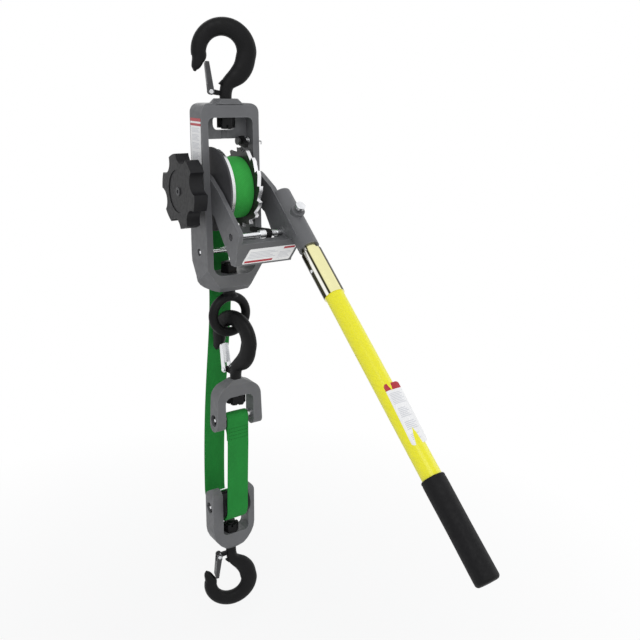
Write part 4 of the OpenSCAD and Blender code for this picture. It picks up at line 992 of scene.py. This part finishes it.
def rounded_box(width, height, radius, count=7):
    """Outline of a box with round corners about its centre."""
    corners = []
    for k, (sx, sy) in enumerate(((1, 1), (-1, 1), (-1, -1), (1, -1))):
        a = np.radians(np.linspace(90 * k, 90 * k + 90, count))
        corners.append(np.stack([sx * (width / 2 - radius) + radius * np.cos(a),
                                 sy * (height / 2 - radius) + radius * np.sin(a)], -1))
    return np.concatenate(corners)


def film_shell(outline, lay, thickness):
    """Sticker: rings of the outline grow from its centre under the film and shrink back over it, and
    lay puts each flat point and height on the surface that it sticks to. The UV map runs from 0 to 1
    over the sticker."""
    inner = np.array([0.985, 0.93, 0.8, 0.6, 0.4, 0.2, 0.04])
    shares = np.concatenate([inner[::-1], [1.0, 1.0], inner])
    rise = np.where(np.arange(len(shares)) <= len(inner), 0.0, thickness)
    flat = outline[None] * shares[:, None, None]
    size = np.ptp(outline, axis=0)
    uv = flat / size + 0.5
    points = lay(flat[..., 0], flat[..., 1], np.broadcast_to(rise[:, None], flat.shape[:2]))
    closed = np.concatenate([uv, uv[:, :1]], 1)
    return grid(points, closed, round_v=True, caps=True)


BAR_LABEL, BAR_LABEL_X, BAR_LEAN = (76.0 * MM, 21.4 * MM), 18.2 * MM, 11.0 * MM
BAR_UPPER, BAR_LOWER = np.array((114.97, 3.93)) * MM, np.array((124.5, -15.46)) * MM
TUBE_LABEL, TUBE_LABEL_AT = (23.0 * MM, 86.0 * MM), 411.0 * MM
LABEL_BEND, LABEL_SKEW = math.radians(45.0), 3.0 * MM


def make_labels(sizes, colours):
    """Three plain stickers: on the frame's side, the crossbar and the handle tube."""
    low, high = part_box("side_label")
    side = ((low + high) / 2).y, ((low + high) / 2).z

    def on_side(u, v, h):
        return np.stack([high.x - h, side[0] - u, side[1] + v], -1)

    def on_bar(u, v, h):
        """Slanted sticker on the crossbar's front face, leaning with the casting."""
        height = np.linalg.norm(BAR_LOWER - BAR_UPPER)
        down = (BAR_LOWER - BAR_UPPER) / height
        face = (BAR_UPPER + BAR_LOWER) / 2
        out = np.array((-down[1], down[0]))
        s, n = face[0] - down[0] * v + out[0] * h, face[1] - down[1] * v + out[1] * h
        points = np.stack([BAR_LABEL_X + v / height * BAR_LEAN + u, -s, n], -1)
        return placed((points.reshape(-1, 3), [], None), LEVER)[0].reshape(*u.shape, 3)

    def on_tube(u, v, h):
        """Stiff sticker, slightly askew: it follows the tube for 45 degrees and then runs straight
        on as a flap."""
        bent = LABEL_BEND * TUBE_R
        w = u + TUBE_LABEL[0] / 2 + v / TUBE_LABEL[1] * LABEL_SKEW
        angle = np.minimum(w, bent) / TUBE_R - LABEL_BEND
        flap = np.maximum(w - bent, 0.0)
        r = TUBE_R + h + 0.02 * MM
        points = np.stack([r * np.sin(angle) + flap * np.cos(angle), v - TUBE_LABEL_AT,
                           r * np.cos(angle) - flap * np.sin(angle)], -1)
        return placed((points.reshape(-1, 3), [], None), HANDLE)[0].reshape(*u.shape, 3)

    width, height = high.y - low.y, high.z - low.z
    jobs = (
        ("side_label", rounded_box(width, height, 1.5 * MM), on_side,
         [(-0.1, 1.1, 0.93, 1.1, 0), (-0.1, 1.1, 0.835, 0.89, 0), (0.15, 0.9, 0.70, 0.80, 4),
          (0.15, 0.85, 0.52, 0.66, 5), (0.15, 0.9, 0.34, 0.48, 5), (0.15, 0.85, 0.08, 0.28, 7)]),
        ("crossbar_label", rounded_box(*BAR_LABEL, 2.0 * MM), on_bar,
         [(0.03, 0.62, 0.06, 0.20, 0), (0.74, 0.98, 0.80, 0.94, 0), (0.05, 0.64, 0.34, 0.84, 5),
          (0.70, 0.96, 0.20, 0.66, 5)]),
        ("tube_label", rounded_box(*TUBE_LABEL, 4.0 * MM), on_tube,
         [(-0.1, 1.1, 0.89, 1.1, 0), (0.10, 0.88, 0.66, 0.85, 8), (0.16, 0.80, 0.44, 0.60, 6),
          (0.16, 0.86, 0.24, 0.38, 5), (0.16, 0.7, 0.08, 0.18, 4)]),
    )
    for node, outline, lay, marks in jobs:
        obj = new_object(node + "_film", film_shell(outline, lay, sizes.label_t), 60.0)
        finished(obj, node, sticker(colours, node.replace("_", " "), marks))


# --- stage


def make_floor(stage):
    """Wide pale floor below the lowest hook, which turns to plain white away from the shadow."""
    z = CAD_BOX[0].z - stage.floor_gap
    reach, near, far = 6, 0.02, 0.35
    corners = np.array([[(x, y, z) for x in (-reach, reach)] for y in (-reach, reach)], float)
    floor = new_object("floor", grid(corners))
    if floor.data.polygons[0].normal.z < 0:
        floor.data.flip_normals()
    m = Finish("pale floor", (0.86, 0.86, 0.86), 0.0, 0.9, Specular_IOR_Level=0.0)
    distance = m.node("ShaderNodeVectorMath")
    distance.operation = "LENGTH"
    m.feed(distance.inputs[0], m.node("ShaderNodeTexCoord").outputs["Object"])
    fade = m.spread(distance.outputs["Value"], abs(z) + near, abs(z) + far, 0.8, 1.0)
    m.white_to_eye(m.shader.outputs[0], "Material Output", fade)
    floor.data.materials.append(m.material)


def make_world(stage):
    """Soft light from all round, seen as plain white."""
    world = bpy.data.worlds.new("studio")
    bpy.context.scene.world = world
    nodes = Nodes(world)
    plain = nodes.tree.nodes["Background"]
    plain.inputs["Color"].default_value = (0.97, 0.98, 1.0, 1)
    plain.inputs["Strength"].default_value = stage.ambient
    nodes.white_to_eye(plain.outputs[0], "World Output")


def make_lamp(name, place, size, power):
    """Soft square lamp that faces the middle of the object."""
    data = bpy.data.lights.new(name, "AREA")
    data.size = size
    data.energy = power
    lamp = linked(name, data)
    target = Vector((0, 0, (CAD_BOX[0].z + CAD_BOX[1].z) / 2))
    lamp.location = place
    lamp.rotation_mode = "QUATERNION"
    lamp.rotation_quaternion = (target - Vector(place)).to_track_quat("-Z", "Y")


def make_camera(stage):
    """Camera from its azimuth, elevation and roll."""
    a, e, r = stage.azimuth, stage.elevation, stage.roll
    ahead = Vector((-math.sin(a) * math.cos(e), math.cos(a) * math.cos(e), -math.sin(e)))
    right = Vector((math.cos(a), math.sin(a), 0))
    up = right.cross(ahead)
    axes = (right * math.cos(r) + up * math.sin(r), up * math.cos(r) - right * math.sin(r), -ahead)
    data = bpy.data.cameras.new("camera")
    data.lens = stage.lens
    data.sensor_width = 36.0
    data.clip_start, data.clip_end = 0.01, 30.0
    camera = linked("camera", data)
    camera.matrix_world = Matrix.Translation(stage.place) @ Matrix(axes).transposed().to_4x4()
    bpy.context.scene.camera = camera


# --- operators


class Maker(bpy.types.Operator):
    """Base of the operators: runs make with the scene's settings."""

    bl_options = {"REGISTER", "UNDO"}

    def execute(self, context):
        scene = context.scene
        self.make(scene.come_along_sizes, scene.come_along_colours, scene.come_along_stage)
        return {"FINISHED"}


class COMEALONG_OT_stage(Maker):
    """Makes the camera, the floor and the lights"""

    bl_idname = "come_along.stage"
    bl_label = "Stage"

    def make(self, sizes, colours, stage):
        make_camera(stage)
        make_floor(stage)
        make_world(stage)
        make_lamp("key lamp", (-1.0, -1.9, 1.3), 1.6, stage.key)
        make_lamp("fill lamp", (1.9, -0.9, 0.3), 1.6, stage.fill)
        make_lamp("back lamp", (0.8, 1.9, 1.0), 1.4, stage.fill)
        bpy.context.scene.view_settings.view_transform = "Standard"


class COMEALONG_OT_castings(Maker):
    """Rounds and paints the frame, the yoke, the clevis and the block"""

    bl_idname = "come_along.castings"
    bl_label = "Castings"

    def make(self, sizes, colours, stage):
        dress_nodes(["frame", "lever_yoke", "anchor_clevis", "block_yoke"], sizes.cast_round, 3)


class COMEALONG_OT_hooks(Maker):
    """Makes the three forged hooks with their nuts, latches and springs"""

    bl_idname = "come_along.hooks"
    bl_label = "Hooks"

    def make(self, sizes, colours, stage):
        make_hooks(sizes)
        words = ("top", "anchor", "bottom")
        dress_nodes([w + "_hook_nut" for w in words], NUT_EDGE)
        dress_nodes([w + "_latch" for w in words], sizes.sheet_round)
        dress_nodes([w + "_latch_pin" for w in words], sizes.machined_round)
        dress_nodes([w + "_latch_spring" for w in words], 0.0, sharp=WIRE_SHARP)


class COMEALONG_OT_ring(Maker):
    """Makes the forged ring eye and its nut"""

    bl_idname = "come_along.ring"
    bl_label = "Ring"

    def make(self, sizes, colours, stage):
        make_ring()
        dress_nodes(["ring_eye_nut"], NUT_EDGE)


class COMEALONG_OT_drum(Maker):
    """Finishes the drum, the ratchet wheel and the handwheel"""

    bl_idname = "come_along.drum"
    bl_label = "Drum"

    def make(self, sizes, colours, stage):
        dress_nodes(["drum_shaft", "spool", "drum_flange", "ratchet_wheel", "wheel_screw", "shaft_nut"],
                    sizes.machined_round)
        dress_nodes(["handwheel"], sizes.wheel_round, 3)


class COMEALONG_OT_strap(Maker):
    """Makes the webbing from the drum to the sewn eye"""

    bl_idname = "come_along.strap"
    bl_label = "Strap"

    def make(self, sizes, colours, stage):
        make_strap(sizes, colours)


class COMEALONG_OT_lever(Maker):
    """Finishes the ferrule, the handle tube, the grip and the pins of the lever"""

    bl_idname = "come_along.lever"
    bl_label = "Lever"

    def make(self, sizes, colours, stage):
        dress_nodes(["ferrule", "handle_tube", "ferrule_pin", "thumb_pin", "dowel"], sizes.machined_round)
        make_grip(sizes)


class COMEALONG_OT_pawls(Maker):
    """Finishes both pawls and their springs, and the pin and clip of the holding pawl"""

    bl_idname = "come_along.pawls"
    bl_label = "Pawls"

    def make(self, sizes, colours, stage):
        dress_nodes(["hairpin_clip", "drive_pawl", "holding_pawl"], sizes.machined_round)
        dressed("holding_pawl_pin", finishes()["latch_steel"], sizes.machined_round)
        dress_nodes(["pawl_spring", "holding_spring"], 0.0, sharp=WIRE_SHARP)


class COMEALONG_OT_hardware(Maker):
    """Finishes the bushings, the roller, the strap keeper and the pins sunk in the castings"""

    bl_idname = "come_along.hardware"
    bl_label = "Hardware"

    def make(self, sizes, colours, stage):
        dress_nodes(["shaft_bushes", "strap_roller", "strap_keeper"], sizes.machined_round)
        stub = sizes.pin_stub
        # each pin's ends past sink millimetres are painted with countersink shade, all but a stub of
        # radius bright
        for node, sink, bright in (("tie_rod", 6, stub), ("clevis_bolt", 6, stub),
                                   ("roller_pin", 6, stub), ("pawl_shaft", 2, 0)):
            low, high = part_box(node)
            reach = (high.x - low.x) / 2 - sink * MM
            dressed(node, sunk_pin(colours, node, reach, bright), sizes.machined_round)


class COMEALONG_OT_labels(Maker):
    """Makes the three plain stickers"""

    bl_idname = "come_along.labels"
    bl_label = "Labels"

    def make(self, sizes, colours, stage):
        make_labels(sizes, colours)


OPERATORS = (COMEALONG_OT_stage, COMEALONG_OT_castings, COMEALONG_OT_hooks, COMEALONG_OT_ring,
             COMEALONG_OT_drum, COMEALONG_OT_strap, COMEALONG_OT_lever, COMEALONG_OT_pawls,
             COMEALONG_OT_hardware, COMEALONG_OT_labels)


class COMEALONG_PT_panel(bpy.types.Panel):
    """Lists the makers and their settings"""

    bl_label = "Come Along"
    bl_idname = "COMEALONG_PT_panel"
    bl_space_type = "VIEW_3D"
    bl_region_type = "UI"
    bl_category = "Come Along"

    def draw(self, context):
        layout = self.layout
        for operator in OPERATORS:
            layout.operator(operator.bl_idname)
        for group in (context.scene.come_along_sizes, context.scene.come_along_colours,
                      context.scene.come_along_stage):
            box = layout.box()
            for name in group.bl_rna.properties.keys():
                if name not in ("rna_type", "name"):
                    box.prop(group, name)


GROUPS = {"come_along_sizes": ComeAlongSizes, "come_along_colours": ComeAlongColours,
          "come_along_stage": ComeAlongStage}


def register():
    for name, group in GROUPS.items():
        bpy.utils.register_class(group)
        setattr(bpy.types.Scene, name, PointerProperty(type=group))
    for cls in (*OPERATORS, COMEALONG_PT_panel):
        bpy.utils.register_class(cls)


def unregister():
    for cls in (COMEALONG_PT_panel, *reversed(OPERATORS)):
        bpy.utils.unregister_class(cls)
    for name, group in GROUPS.items():
        delattr(bpy.types.Scene, name)
        bpy.utils.unregister_class(group)


def main():
    register()
    for operator in OPERATORS:
        getattr(bpy.ops.come_along, operator.bl_idname.split(".")[1])()


if __name__ == "__main__":
    main()
